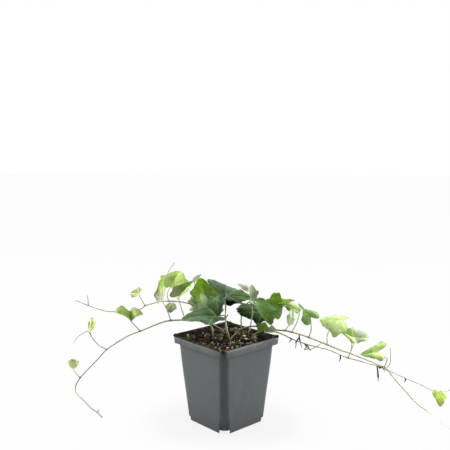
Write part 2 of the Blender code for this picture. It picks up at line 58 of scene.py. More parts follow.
# The soft lights, in metres and watts: name, place, width and height, and power
LIGHTS = (
    ("left_softbox", (-1.35, 0.50, 0.50), (0.6, 1.0), 42),
    ("right_softbox", (1.35, 0.42, 0.50), (0.6, 1.0), 40),
    ("top_softbox", (0.0, 0.1, 1.5), (1.4, 1.0), 26),
)
LIGHT_AIM = (0, 0, 0.1)
ROOM_LOOK = 1.0  # how bright the white room looks to the camera
ROOM_LIGHT = 0.25  # how brightly it lights the object

# The floor, in metres: its half size, its shade, and the distances over which it fades to white
FLOOR_HALF = 6.0
FLOOR_SHADE = 0.32
FLOOR_FADE = (0.06, 0.12)
FLOOR_GLOW = (0.86, 0.97)  # how much of its look is white at those distances

# The pot's measures, as in its solid
POT_HEIGHT = 100.0
RIM_HALF = 45.0
RIM_CORNER = 6.8
NECK_HALF = 42.1
BASE_HALF = 33.2
WALL_CORNER = 9.1
WALL = 1.2
WALL_LEAN = 0.09  # how far the walls lean out, as a share of their height
LIP_HEIGHT = 7.5
LIP_WALL = 1.1
LIP_DRAFT = 0.3
LIP_GROOVE = 2.0  # how far below the top the space between lip and wall ends
FOOT_EDGE = 0.6
POCKET_HALF_WIDTH = 5.9
POCKET_HEIGHT = 4.5
POCKET_INNER_END = 32.0
POCKET_ROOF_REACH = 39.0
POCKET_CUT_REACH = 60.0
POCKET_CUT_LOW = -5.0
POCKET_STEPS = 12
DRAIN_RADIUS = 2.6
DRAIN_AT = 33.5
DRAIN_SIDES = 24
DRAIN_OVERRUN = 2.0
POT_CORNER_STEPS = 18
LEAST_CORNER = 0.3

# The soil's measures: its heights, its lumps of three sizes, and its gaps to the pot
SOIL_MIDDLE = 97.6
SOIL_LEFT = 99.6
SOIL_RIGHT = 93.6
SOIL_REACH = 52.0
SOIL_LUMP = 1.3
SOIL_LUMP_SIZE = 9.0
MIDDLE_LUMP = 0.9
MIDDLE_LUMP_SIZE = 3.6
SMALL_LUMP = 0.5
SMALL_LUMP_SIZE = 1.5
SOIL_GAP = 0.3
SOIL_FOOT = 7.5
SOIL_NECK_DROP = 1.0
SOIL_SKIRT_DROP = 3.0
SOIL_CORNER_STEPS = 44
SOIL_ROWS = 62
SKIRT_ROWS = 4
CORNER_ROOM = 3.0  # what the pot's round corners take from the room inside it

# The soil spilt over the rim; shares are of the way round, which starts at the right corner
SPILL_ROWS = 14
SPILL_CORNER_STEPS = 59
SPILL_LIFT = 0.05
SPILL_SINK = 4.0
BARE_SHARE = 0.03
SPILL_FADE = 0.05
HEAP_SHARE = 0.05

# The loose bits: how many, where they lie, and the numbers that their random draws start from
CRUMB_COUNT = 900
CRUMB_REACH = 58
ROUGH_CRUMB = 2.6  # crumbs larger than this are made with more detail
RIM_CRUMB_COUNT = 700
FIBRE_COUNT = 110
SCATTER_SEED = 11
GRIT_SEED = 1500
RIM_CRUMB_SEED = 2000
RIM_CRUMB_TURNS = (0.05, 0.95)  # how far round the rim they lie, as shares, from the right corner
RIM_CRUMB_BAND = (40.4, 44.7)  # the half widths of the squares between which they lie
RIM_CRUMB_CORNER = 5.0
RIM_CRUMB_STEPS = 400
FIBRE_ACROSS = (-50, 40)
FIBRE_DEEP = (-45, 45)
FIBRE_LENGTHS = (4, 13)
FIBRE_RADII = (0.14, 0.34)
FIBRE_RUNS = 4
FIBRE_STEP = 2.0

# Stems, stalks and rootlets
HOLE_FLOOR = 86.0
HOLE_CLEAR = 0.3
FLOOR_CLEAR = 0.4
SHORTEST_RUN = 0.6
PATH_STEP = 1.5
STEM_SIDES = 12
NODE_SWELL = 0.35  # how much a stem swells and darkens where a leaf's stalk leaves it
NODE_REACH = 1.8
STALK_RADIUS = 0.6
STALK_SIDES = 8
STALK_SINK = 1.2
BUD_SIZE = 3.2
ROOT_RADIUS = 0.7
ROOT_STEP = 1.0
ROOT_SIDES = 6
HAIR_COUNT = 8
HAIR_SPREAD = 1.3
FIBRE_SIDES = 5

# Blades
BLADE_THICKNESS = 0.5
BLADE_COLUMNS = 54
BLADE_ROWS = 9
ROW_SPREAD = 0.85  # below 1, the rows lie closer together at the margin
ARCH = 0.07  # how high a blade rises between its ends, as a share of its length
MARGIN_RIPPLE = 0.07
RIPPLE_RATE = 9
MARGIN_WAVE = 1.1
WAVE_RATE = 0.16
PUFF = 0.30  # how high the tissue rises between the ribs, which it reaches at PUFF_WIDTH from them
PUFF_WIDTH = 0.12
SMALL_STEP = 0.01
NET_SIZE = 2.6  # the size of the cells of a leaf's finest veins
UPPER_SIDE = Vector((0, -0.5, 1))

# The main veins of each half of a blade, as headings across and along from the stalk, how many side veins
# each would have along the blade's length, and how far those slant towards the tip
VEIN_HEADINGS = ((0.0, 1.0), (1.0, 0.45), (0.62, -0.15))
SIDE_VEIN_COUNTS = (7.0, 6.0, 6.0)
SIDE_VEIN_SLANT = 0.9
OUT_OF_REACH = 5.0  # added to a vein's distance behind the stalk, where it doesn't run

# Half of a blade's outline, from beside its stalk to its tip: across as a share of the reach to its side
# lobe's tip, and along as a share of its length. The side lobe's own tip is at LOBE_AT along.
OUTLINES = {
    "five": (
        (0.20, -0.12), (0.50, -0.16), (0.76, -0.04), (0.80, 0.14),
        (1.02, 0.36), (0.98, 0.50), (0.74, 0.57), (0.58, 0.72), (0.30, 0.93),
    ),
    "deep": (
        (0.22, -0.13), (0.60, -0.16), (0.92, 0.0), (1.04, 0.22),
        (0.90, 0.40), (0.52, 0.46), (0.20, 0.54), (0.15, 0.74), (0.10, 0.93),
    ),
    "three": (
        (0.26, -0.11), (0.66, -0.10), (1.0, 0.16), (0.97, 0.36), (0.70, 0.52), (0.52, 0.72), (0.26, 0.92),
    ),
}
LOBE_AT = {"five": 0.45, "deep": 0.28, "three": 0.28}


def stem(points, thick, thin):
    """A stem: its points from its end in the soil to its tip, and its widths at both ends."""
    return {"points": points, "thick": thick, "thin": thin, "leaves": [], "rootlets": [], "shoots": []}


def leaf(base, tip, right, left, stalk, kind="five", bow=0.06):
    """A leaf: where its blade meets its stalk, the tips of its three main lobes, and its stalk's points.

    Bow is how high each half of the blade rises between its midrib and its side lobe, as a share of that
    reach.
    """
    return {"base": base, "tip": tip, "right": right, "left": left, "stalk": stalk, "kind": kind, "bow": bow}


STEMS = {
    "runner_left_low": stem(
        [(-4, 20, 92), (-4, 20, 99), (-8, 18, 104), (-16, 16, 109), (-30, 14, 114.5), (-43, 12, 116),
         (-66, 12, 115), (-79, 13, 111.5), (-100, 18, 101.5), (-118, 26, 92.5), (-132, 36, 82.5),
         (-152, 50, 66.5), (-165, 59, 51.5), (-178, 66, 37.5), (-193, 73, 20.5), (-198, 75, 12.5),
         (-200, 74, 5.5), (-196, 66, 1.4), (-180, 42, 1.4), (-168, 23, 1.4), (-159, 12, 1.4),
         (-147, -5, 1.4)],
        2.0, 1.5),
    "runner_left_high": stem(
        [(-16, 24, 92), (-16, 24, 99), (-20, 21, 108), (-28, 17, 121), (-38, 16, 131.5), (-44, 18, 134),
         (-56, 20, 136), (-69, 22, 136), (-80, 24, 135), (-93, 26, 131), (-99, 27, 129), (-104, 27, 125),
         (-123, 26, 121), (-138, 24, 122), (-147, 23, 123), (-158, 21, 127), (-166, 20, 130),
         (-176, 18, 135), (-181, 17, 137)],
        1.9, 1.3),
    "runner_right_high": stem(
        [(6, -11, 92), (6, -11, 99), (10, -12, 105.5), (16.5, -11, 111.5), (27, -10, 115), (37, -8, 114.5),
         (48.5, -6, 112), (57, -5, 110), (68, -4, 109), (76, -3, 107), (86, -2, 104), (97, -1, 100),
         (109, 0, 95), (121, 1, 90), (132, 2, 85), (144, 3, 81), (156, 4, 76), (168, 5, 71), (177, 6, 66.5),
         (185, 7, 63.5), (190, 10, 59), (196, 11, 50.5), (205, 13, 40), (213, 16, 30.5), (223, 20, 19),
         (232, 24, 10), (239, 25, 5), (245, 18, 1.4), (250, 1.5, 1.4), (255, -17.5, 1.4), (258, -34, 1.4)],
        2.0, 1.4),
    "runner_right_low": stem(
        [(31, 6, 92), (31, 6, 99), (36, 8, 102), (43, 9, 104), (51, 10, 104), (57, 10, 103.5),
         (66.5, 11, 100), (75, 12, 95.5), (83, 13, 92), (90, 13, 89.5), (99, 14, 86.5), (110.5, 15, 83.5),
         (122.5, 16, 80), (134.5, 17, 74.5), (144, 18, 70.5), (158.5, 19, 66.5), (170.5, 20, 62.5),
         (180, 21, 60), (188, 22, 56), (197, 22, 52.5), (207, 23, 47.5), (213, 23, 45), (219, 24, 42),
         (231.5, 25, 36.5), (246, 26, 29), (260, 27, 27), (270, 28, 30)],
        1.9, 1.0),
    "stem_left": stem(
        [(-15.5, 4, 92), (-15.5, 4, 99), (-16.5, 5, 106), (-18, 6, 112), (-20.5, 8, 123), (-24, 9, 134),
         (-27, 10, 141), (-29, 10, 147)],
        2.0, 1.3),
    "stem_middle": stem(
        [(3.7, -3, 92), (3.5, -3, 99), (1.5, -5, 107), (0, -5, 115), (-0.5, -4, 123), (-0.5, -3, 133.5),
         (-1, -2, 144)],
        2.8, 1.3),
    "stem_right": stem(
        [(26, 14, 92), (26, 14, 98), (27.5, 11, 105), (28.5, 11, 111), (29.5, 11, 119.5), (30.5, 10, 127),
         (29, 9, 135.5), (26.5, 9, 140)],
        2.0, 1.3),
    "stem_back": stem(
        [(17, 31, 92), (17, 31, 99), (17, 29, 106), (17, 26, 115), (19, 25, 124), (22, 25, 132)],
        1.9, 1.3),
}

STEMS["runner_left_low"]["leaves"] = [
    leaf((-76.5, 8, 142), (-77.5, 8, 165), (-72.5, 14, 154), (-84, 2, 149),
         [(-66, 12, 115), (-69, 9, 126)]),
    leaf((-56.5, 7, 145.5), (-39, 10, 162.5), (-44.5, 1, 153.5), (-60, 3, 158.5),
         [(-48, 12, 116), (-53, 9, 131)]),
    leaf((-110, -5, 117.5), (-116, 14, 124.5), (-97.5, 0, 126.5), (-130.5, 1, 127.5),
         [(-105, 19, 100), (-107, 7, 109)], "three", 0.32),
    leaf((-171.5, 47, 92), (-170, 46, 108.5), (-164, 50, 101), (-173, 43, 101.5),
         [(-152, 50, 66.5), (-161.5, 50, 71.5), (-169.5, 49, 81.5)], "three"),
    leaf((-201.5, 71, 33.5), (-199, 64, 48), (-192, 66, 45), (-206, 66, 46),
         [(-193, 73, 21), (-198, 72, 27)], "three"),
]
STEMS["runner_left_high"]["leaves"] = [
    leaf((-68, 24, 153), (-56.5, 28, 171.5), (-46, 22, 160.5), (-78.5, 27, 165.5),
         [(-69, 22, 136), (-71.5, 23, 143)]),
    leaf((-105.5, 22, 145), (-114.5, 19, 146), (-104.5, 24, 153), (-113, 18, 141),
         [(-99, 27, 129), (-104, 24, 140)], "three"),
    leaf((-64.5, 17, 134.5), (-67.5, 12, 124.5), (-59.5, 13, 129), (-72, 12, 132),
         [(-63, 21, 136), (-63, 19, 136)], "three"),
]
STEMS["runner_right_high"]["leaves"] = [
    leaf((56.5, -3, 124), (58, 3, 151.5), (67.5, 0, 143), (46.5, 0, 144),
         [(52, -6, 111.5), (54, -5, 120)]),
    leaf((61.5, -2, 141), (79, 2, 142.5), (68, -4, 140.5), (67.5, 2, 145),
         [(52, -6, 111.5), (54, -5, 120), (58, -3, 131)], "three"),
    leaf((73.5, -8, 117), (75, -8, 135), (82, -3, 128), (69.5, -12, 128),
         [(68, -4, 109), (71, -6, 114)], "three"),
    leaf((85, 2, 129.5), (64, 5, 138), (75.5, 9, 139.5), (71.5, -1, 132),
         [(76, -3, 107), (82, -2, 119)], "three"),
    leaf((97, -6, 126), (83, 2, 139.5), (104, -4, 131), (87.5, -10, 121),
         [(96, -1, 100), (98, -4, 110)], "deep"),
    leaf((135.5, 1, 120.5), (107.5, -3, 122), (126.5, 8, 125), (123, -8, 103.5),
         [(117, 1, 91), (118, 5, 103), (126, 6, 114)]),
    leaf((175.5, 4, 82.5), (154.5, -3, 81.5), (180, 9, 93.5), (179, 0, 73),
         [(184.5, 7, 63.5), (187, 5, 75)]),
]
STEMS["runner_right_low"]["leaves"] = [
    leaf((46, -13, 111.5), (35.5, -16, 120), (45, -15, 121.5), (36.5, -14, 112.5),
         [(44, 9, 104), (45, 0, 106), (46, -8, 107.5)], "three"),
    leaf((55.5, -10, 110), (44.5, -12, 113.5), (53, -12, 116.5), (47.5, -11, 109),
         [(58, 10, 103.5), (57, 1, 105)], "three"),
    leaf((148, 9, 98), (132, 3, 107.5), (147, 10, 110), (145.5, 5, 93),
         [(144, 18, 70.5), (147, 14, 81), (147, 10, 91)]),
    leaf((150.5, 11, 98), (167.5, 15, 95.5), (158, 14, 106), (153, 9, 91),
         [(144, 18, 70.5), (147.5, 15, 81), (149.5, 12, 92)], "three"),
    leaf((253, 24, 28), (254, 18, 12), (262.5, 22, 22), (246, 22, 25),
         [(251, 26, 28), (252, 25, 29)], "three"),
]
STEMS["stem_left"]["leaves"] = [
    leaf((-24, 4, 145), (-29.5, 10, 167), (-5.5, 1, 147.5), (-42, 2, 151.5),
         [(-24, 9, 134), (-26, 6, 137)]),
    leaf((-11.5, -10, 147), (-7, -22, 130), (-0.5, -19, 144.5), (-21.5, -13, 140),
         [(-27, 10, 141), (-23, 2, 147)]),
    leaf((-38.5, 16, 160.5), (-30, 21, 168.5), (-33.5, 28, 161.5), (-38, 11, 167.5),
         [(-29, 10, 147), (-34, 14, 153)], "three"),
    leaf((-29.5, 2, 150.5), (-34.5, 5, 128), (-19.5, 4, 134), (-43, 6, 140.5),
         [(-25, 9.5, 137), (-29, 6, 144)], "three"),
    leaf((-36, 1, 138.5), (-44.5, 0, 140.5), (-41, 3, 143), (-41, -2, 137),
         [(-24, 9, 134), (-30, 4, 138)], "three"),
    leaf((-33, 6, 133.5), (-42.5, 5, 129), (-36.5, 4, 128), (-40.5, 8, 134),
         [(-22, 8.5, 129), (-28, 7, 133)], "three"),
    leaf((-25, 22, 143), (-30, 42, 147), (-17, 34, 140), (-40, 34, 138.5),
         [(-27, 10, 141), (-26, 16, 146)]),
]
STEMS["stem_middle"]["leaves"] = [
    leaf((-11, -9, 126.5), (-50.5, -18, 123.5), (-24.5, 1, 134), (-19, -25, 120.5),
         [(-0.5, -4, 123), (-2.5, -7, 127)]),
    leaf((0, 2, 147.5), (-22, 17, 164.5), (11.5, 7, 154.5), (-17, 13, 151),
         [(-0.5, -3, 133.5), (-1, 0, 142)]),
    leaf((0.5, -2, 148), (27.5, -5, 146), (17, -12, 142.5), (17.5, 7, 154),
         [(-1, -2, 144), (-1, -3, 146)]),
    leaf((-1.5, 5, 144.5), (18, 1, 141), (5.5, 9, 146.5), (4, -1, 136.5),
         [(-1, -2, 144), (-2, 2, 146)], "three"),
    leaf((3, 14, 142.5), (-4, 36, 139.5), (8.5, 30, 135), (-14.5, 28, 140),
         [(-0.5, -4, 123), (0, 6, 137)]),
]
STEMS["stem_right"]["leaves"] = [
    leaf((30, 6, 142.5), (29.5, 5, 161), (37.5, 2, 153.5), (24.5, 10, 152),
         [(29, 9, 135.5), (30, 7, 139)]),
    leaf((28, 7, 152), (12.5, 15, 159), (24, 10, 158.5), (20, 9, 153.5),
         [(29, 9, 135.5), (30, 7, 139), (30, 7, 143)], "three"),
    leaf((34.5, 4, 139.5), (51.5, -15, 119), (57, -12, 136.5), (42, -7, 124.5),
         [(30, 9.5, 131), (31, 9, 136)]),
]
STEMS["stem_back"]["leaves"] = [
    leaf((43, 21, 123.5), (13.5, 14, 125), (16, 25, 134), (36, 14, 111.5),
         [(19, 25, 124), (28, 24, 129)]),
    leaf((39.5, 31, 123), (52, 46, 126.5), (53, 36, 120.5), (36, 42, 127.5),
         [(22, 25, 132), (28, 27, 134)]),
]

STEMS["runner_left_low"]["shoots"] = [
    [(-152, 50, 66.5), (-161.5, 50, 71.5), (-169.5, 49, 81.5), (-174, 47, 90), (-180.5, 46, 88),
     (-187, 45, 83.5), (-191, 44, 78)],
    [(-155, 6, 1.4), (-153, 5, 6)],
]
STEMS["runner_left_high"]["shoots"] = [
    [(-75, 23, 136), (-75, 33, 152), (-71.5, 32, 168), (-64.5, 30, 179.5)],
    [(-166, 20, 130), (-166.5, 19, 141)],
]
STEMS["runner_right_low"]["shoots"] = [
    [(188, 22, 56), (194, 22, 61.5), (194.5, 21, 72.5), (194, 21, 80.5)],
    [(92, 13, 89), (97, 9, 83), (103, 8, 85.5), (113, 9, 91.5)],
]
STEMS["runner_right_high"]["rootlets"] = [
    [(84, -2, 104), (84.5, -2, 100), (81.5, -3, 95.5), (80.5, -4, 88)],
    [(84.5, -2, 104), (85, -2.5, 99.5), (87.5, -4, 89)],
]
STEMS["runner_right_low"]["rootlets"] = [
    [(73, 12, 96), (76.5, 9.5, 95), (73.5, 10, 90.5)],
    [(92, 13, 89), (94.5, 11, 86.5), (91.5, 10.5, 82), (95.5, 10, 83)],
    [(95.5, 13.5, 87.5), (96.5, 11.5, 84.5), (99.5, 11, 81)],
    [(134.5, 17, 74.5), (135, 16.5, 70.5), (133.5, 16, 66.5)],
    [(180.5, 21, 60), (182.5, 20, 57.5), (184.5, 19.5, 59.5), (188, 19.5, 54)],
    [(179, 21, 60), (180, 20, 53), (180.5, 19, 41.5)],
    [(213, 23, 45), (213.5, 22.5, 42.5), (212, 22, 39.5)],
]
STEMS["stem_middle"]["shoots"] = [
    [(-0.5, -4, 122), (0.5, -4.5, 124), (1.5, -4.5, 125.5)],
]

# Leaf greens as seen under this light, with the light and shade on each leaf painted in; red, green and blue
# from 0 to 255, from the darkest to the palest
NIGHT = (2, 6, 2)
FOREST = (30, 56, 13)
PINE = (47, 84, 35)
SPRUCE = (65, 94, 57)
HOLLY = (56, 88, 26)
SLATE = (103, 122, 99)
GRASS = (103, 140, 64)
VIVID = (118, 161, 12)
OLIVE = (126, 148, 62)
FERN = (143, 180, 104)
SAGE = (158, 175, 116)
ASH = (170, 181, 144)
LIME = (164, 197, 94)
APPLE = (182, 214, 118)
PEAR = (206, 228, 156)
LEMON = (218, 240, 124)
SPRING = (226, 246, 154)
STRAW = (237, 243, 173)
MINT = (214, 240, 188)
PEARL = (200, 202, 197)
CREAM = (241, 243, 222)

# How each leaf looks, in the order above: its green at the tip, at its stalk, and how pale its veins are
LEAF_LOOKS = {
    "runner_left_low": [
        (LIME, CREAM, 0.25), (APPLE, STRAW, 0.35), (OLIVE, OLIVE, 0.25), (STRAW, STRAW, 0.15),
        (STRAW, STRAW, 0.15),
    ],
    "runner_left_high": [(SPRING, SPRING, 0.25), (STRAW, STRAW, 0.15), (ASH, ASH, 0.2)],
    "runner_right_high": [
        (VIVID, FERN, 0.2), (OLIVE, VIVID, 0.1), (MINT, CREAM, 0.2), (SAGE, SAGE, 0.2), (FERN, FERN, 0.25),
        (PEAR, PEAR, 0.2), (APPLE, PEAR, 0.2),
    ],
    "runner_right_low": [
        (GRASS, OLIVE, 0.25), (SAGE, ASH, 0.25), (LIME, PEAR, 0.3), (MINT, CREAM, 0.25), (LEMON, LEMON, 0.15),
    ],
    "stem_left": [
        (VIVID, LIME, 0.2), (PINE, PINE, 0.5), (ASH, ASH, 0.15), (MINT, MINT, 0.25), (SAGE, SAGE, 0.2),
        (CREAM, CREAM, 0.2), (PINE, PINE, 0.3),
    ],
    "stem_middle": [
        (SPRUCE, SPRUCE, 0.5), (SLATE, SLATE, 0.5), (HOLLY, FOREST, 0.5), (NIGHT, NIGHT, 0.1),
        (PINE, PINE, 0.3),
    ],
    "stem_right": [(CREAM, MINT, 0.6), (PEARL, PEARL, 0.3), (GRASS, GRASS, 0.4)],
    "stem_back": [(FOREST, FOREST, 0.4), (PINE, PINE, 0.3)],
}

# Painted light and shade: how much lighter a leaf is painted on the right of its midrib than on the left,
# standing in for a fold along the midrib that lights one half and shades the other, by its number on its stem
FOLD_SHADING = {
    "runner_left_low": {1: 0.42},
    "runner_left_high": {0: 0.12},
    "runner_right_high": {4: 0.2, 5: -0.2},
    "runner_right_low": {2: -0.2},
    "stem_left": {0: -0.12, 1: -0.2, 3: 0.2},
    "stem_middle": {0: -0.16, 1: -0.2, 2: -0.25},
    "stem_right": {0: -0.25, 2: -0.15},
    "stem_back": {0: -0.2},
}

# Each stem's bark as seen, at shares of its length from the soil, and then the colour of its leaf stalks
BARK_LOOKS = {
    "runner_left_low": (((0.0, (125, 118, 84)), (0.08, (160, 156, 122)), (0.2, (176, 178, 150)),
                         (0.7, (160, 162, 138)), (0.85, (126, 128, 104)), (1.0, (108, 110, 88))),
                        (150, 152, 118)),
    "runner_left_high": (((0.0, (142, 137, 102)), (0.15, (166, 168, 146)), (0.45, (192, 195, 172)),
                          (1.0, (216, 217, 198))), (170, 172, 145)),
    "runner_right_high": (((0.0, (152, 143, 118)), (0.12, (138, 132, 104)), (0.19, (108, 118, 74)),
                           (0.28, (202, 204, 176)), (1.0, (214, 216, 194))), (178, 186, 142)),
    "runner_right_low": (((0.0, (120, 115, 84)), (0.12, (126, 126, 86)), (0.25, (186, 188, 161)),
                          (1.0, (210, 214, 188))), (172, 180, 134)),
    "stem_left": (((0.0, (98, 93, 68)), (0.35, (152, 148, 106)), (1.0, (162, 168, 112))), (140, 146, 96)),
    # Its upper bark is painted paler, as painted light against the shade that its own leaves cast on it
    "stem_middle": (((0.0, (98, 94, 62)), (0.3, (142, 138, 80)), (0.45, (186, 186, 150)),
                     (0.6, (210, 214, 190)), (1.0, (214, 220, 198))), (118, 130, 88)),
    "stem_right": (((0.0, (92, 88, 64)), (0.3, (122, 120, 90)), (0.42, (196, 198, 172)),
                    (0.62, (192, 204, 168)), (1.0, (134, 164, 116))), (156, 172, 128)),
    "stem_back": (((0.0, (122, 118, 90)), (0.5, (146, 148, 124)), (1.0, (150, 158, 130))), (130, 138, 104)),
}
ROOT_LOOK = (24, 20, 14)
BUD_PALENESS = 0.2
YOUNG_UNDERSIDE = 0.35  # how far a young leaf's underside turns towards the dull green of an old one's

# Colours in linear light
VEIN_COLOR = (0.50, 0.58, 0.36)
BELLY_COLOR = (0.30, 0.38, 0.20)
PLASTIC_COLOR = (0.083, 0.0935, 0.0955)
PLASTIC_LIGHT = (0.100, 0.111, 0.113)
PLASTIC_DARK = (0.070, 0.077, 0.079)
# Soil smudged on the pot, also used as painted shade over its inner wall
SMUDGE_AND_SHADE_COLOR = (0.022, 0.017, 0.011)
# The soil's near-black, partly its own colour and partly painted shade for the gaps between crumbs
SOIL_DARK_AND_GAP_SHADE = (0.003, 0.002, 0.001)
SOIL_LIGHT = (0.040, 0.033, 0.016)
SOIL_SPECK = (0.17, 0.145, 0.075)
DARK_CRUMBS = ((0.004, 0.003, 0.001), (0.009, 0.007, 0.003), (0.020, 0.015, 0.006))
LIGHT_CRUMBS = ((0.055, 0.046, 0.020), (0.105, 0.092, 0.040), (0.20, 0.18, 0.095), (0.32, 0.29, 0.18))
BROWN_CRUMBS = ((0.035, 0.018, 0.007), (0.075, 0.042, 0.017), (0.14, 0.085, 0.04))
GRIT_COLOR = (0.72, 0.70, 0.58)

# The pale bits that stand out: place, length and width
PALE_BITS = (
    (-28, 16, 2.6, 2.2), (-45, 1, 3.4, 2.0), (-12, -3, 2.2, 1.8), (6, -21, 2.6, 2.2), (9, -19, 2.6, 2.0),
    (6, -40, 7.0, 2.4), (21, 7, 6.5, 2.6), (23, -4, 3.4, 2.4), (16, -11, 2.6, 2.0), (27, -22, 5.0, 2.2),
    (33, -7, 3.4, 2.0), (40, -10, 3.2, 2.2), (46, -6, 3.4, 2.8), (-38, 5, 2.4, 1.6), (-20, -14, 2.6, 1.8),
    (15, 40, 2.6, 2.0), (33, 5, 3.0, 2.2), (-8, -26, 2.8, 1.8),
)


def held(value, low=0.0, high=1.0):
    """A value held within a range."""
    return min(max(value, low), high)


def seen(color):
    """A colour as seen, from 0 to 255, as linear light."""
    shares = [part / 255 for part in color]
    return Vector([s / 12.92 if s <= 0.04045 else ((s + 0.055) / 1.055) ** 2.4 for s in shares])


def tone_along(stops, share):
    """The colour at a share of a stem's length, between the stops on either side of it."""
    for (start, before), (end, after) in zip(stops, stops[1:]):
        if share <= end:
            return seen(before).lerp(seen(after), (share - start) / (end - start))
    return seen(stops[-1][1])


# Objects and pieces


def add_object(name, data):
    """A new object in the scene, with its mesh, lamp or lens."""
    made = bpy.data.objects.new(name, data)
    bpy.context.scene.collection.objects.link(made)
    return made


def mesh_object(name, bm):
    """A new object with the shape of a bmesh, which is then freed."""
    mesh = bpy.data.meshes.new(name)
    bm.to_mesh(mesh)
    bm.free()
    return add_object(name, mesh)


def finish_piece(name, bm, finish, stands_for=(), sharp=0.7):
    """Turns a mesh made in millimetres into a smooth-shaded piece of the object, on its material slot."""
    bmesh.ops.scale(bm, vec=(MM, MM, MM), verts=bm.verts)
    for face in bm.faces:
        face.smooth = True
    for edge in bm.edges:
        if len(edge.link_faces) == 2:
            edge.smooth = edge.calc_face_angle(0.0) < sharp
    piece = mesh_object(name, bm)
    piece.data.materials.append(finish)
    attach(piece, "root")
    if stands_for:
        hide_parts(*stands_for)
    return piece


def colored_bmesh():
    """An empty bmesh whose points have a colour each."""
    bm = bmesh.new()
    bm.verts.layers.float_vector.new("tone")
    return bm


def grid(bm, columns, rows):
    """A flat grid's points, each with its share across the columns and its share up the rows."""
    made = bmesh.ops.create_grid(bm, x_segments=columns, y_segments=rows, size=0.5)["verts"]
    return [(vert, vert.co.x + 0.5, vert.co.y + 0.5) for vert in made]


def close_skin(bm, points):
    """Merges the points of a new closed skin where they meet, and turns its faces outward."""
    faces = {face for vert in points for face in vert.link_faces}
    bmesh.ops.remove_doubles(bm, verts=points, dist=MERGE_GAP)
    bmesh.ops.recalc_face_normals(bm, faces=[face for face in faces if face.is_valid])


def close_all(bm, gap=MERGE_GAP):
    """Merges points that meet, fills what is still open, and turns all faces outward."""
    bmesh.ops.remove_doubles(bm, verts=bm.verts, dist=gap)
    bmesh.ops.holes_fill(bm, edges=[edge for edge in bm.edges if edge.is_boundary], sides=0)
    bmesh.ops.recalc_face_normals(bm, faces=bm.faces)


# Finishes


def new_finish(name, roughness, specular=0.5):
    """A material with its Principled shader, ready to be wired."""
    made = bpy.data.materials.new(name)
    made.use_nodes = True
    shader = made.node_tree.nodes["Principled BSDF"]
    shader.inputs["Roughness"].default_value = roughness
    shader.inputs["Specular IOR Level"].default_value = specular
    return made, made.node_tree, shader


def put(tree, socket, value):
    """Feeds a socket from another socket, or sets its own value."""
    if isinstance(value, bpy.types.NodeSocket):
        tree.links.new(value, socket)
    else:
        socket.default_value = value


def source(tree, kind, output):
    """One output of a new node that needs no inputs."""
    return tree.nodes.new(kind).outputs[output]


def calc(tree, operation, first, second=0.0):
    """A Math node's result."""
    node = tree.nodes.new("ShaderNodeMath")
    node.operation = operation
    put(tree, node.inputs[0], first)
    put(tree, node.inputs[1], second)
    return node.outputs[0]


def plus(tree, first, second):
    """The sum of two values."""
    return calc(tree, "ADD", first, second)


def minus(tree, first, second):
    """The difference of two values."""
    return calc(tree, "SUBTRACT", first, second)


def times(tree, first, second):
    """The product of two values."""
    return calc(tree, "MULTIPLY", first, second)


def more(tree, first, second):
    """The larger of two values."""
    return calc(tree, "MAXIMUM", first, second)


def ramp(tree, value, low, high, to_low=0.0, to_high=1.0):
    """A value brought from one range to another, held at both ends, with soft ends."""
    node = tree.nodes.new("ShaderNodeMapRange")
    node.interpolation_type = "SMOOTHSTEP"
    for socket, number in zip(node.inputs[:5], (value, low, high, to_low, to_high)):
        put(tree, socket, number)
    return node.outputs[0]


def blend(tree, share, first, second, how="MIX"):
    """Two colours mixed by a share."""
    node = tree.nodes.new("ShaderNodeMix")
    node.data_type = "RGBA"
    node.blend_type = how
    node.clamp_factor = True
    for socket, value in ((node.inputs[0], share), (node.inputs[6], first), (node.inputs[7], second)):
        put(tree, socket, (*value, 1.0) if isinstance(value, (tuple, Vector)) and len(value) == 3 else value)
    return node.outputs[2]


def tinted(tree, color, tints, how="MULTIPLY"):
    """A colour with tints over it, each with the value that steers it, its range, its strength and colour."""
    for value, low, high, strength, tint in tints:
        color = blend(tree, ramp(tree, value, low, high, 0.0, strength), color, tint, how)
    return color


def grain(tree, size, detail=3.0, rough=0.55, stretch=(1, 1, 1)):
    """Noise over the object, with lumps of about this size in millimetres."""
    mapping = tree.nodes.new("ShaderNodeMapping")
    mapping.inputs["Scale"].default_value = [1000 / size / part for part in stretch]
    tree.links.new(source(tree, "ShaderNodeTexCoord", "Object"), mapping.inputs["Vector"])
    node = tree.nodes.new("ShaderNodeTexNoise")
    node.inputs["Scale"].default_value = 1.0
    node.inputs["Detail"].default_value = detail
    node.inputs["Roughness"].default_value = rough
    tree.links.new(mapping.outputs[0], node.inputs["Vector"])
    return node.outputs["Fac"]


def relief(tree, shader, height, depth, strength=1.0):
    """Raised detail of a depth in millimetres."""
    node = tree.nodes.new("ShaderNodeBump")
    node.inputs["Strength"].default_value = strength
    node.inputs["Distance"].default_value = depth * MM
    tree.links.new(height, node.inputs["Height"])
    tree.links.new(node.outputs[0], shader.inputs["Normal"])


def read(tree, name):
    """A piece's own attribute, as a vector."""
    node = tree.nodes.new("ShaderNodeAttribute")
    node.attribute_name = name
    return node.outputs["Vector"]


def split(tree, vector):
    """A vector's three parts."""
    node = tree.nodes.new("ShaderNodeSeparateXYZ")
    tree.links.new(vector, node.inputs[0])
    return node.outputs


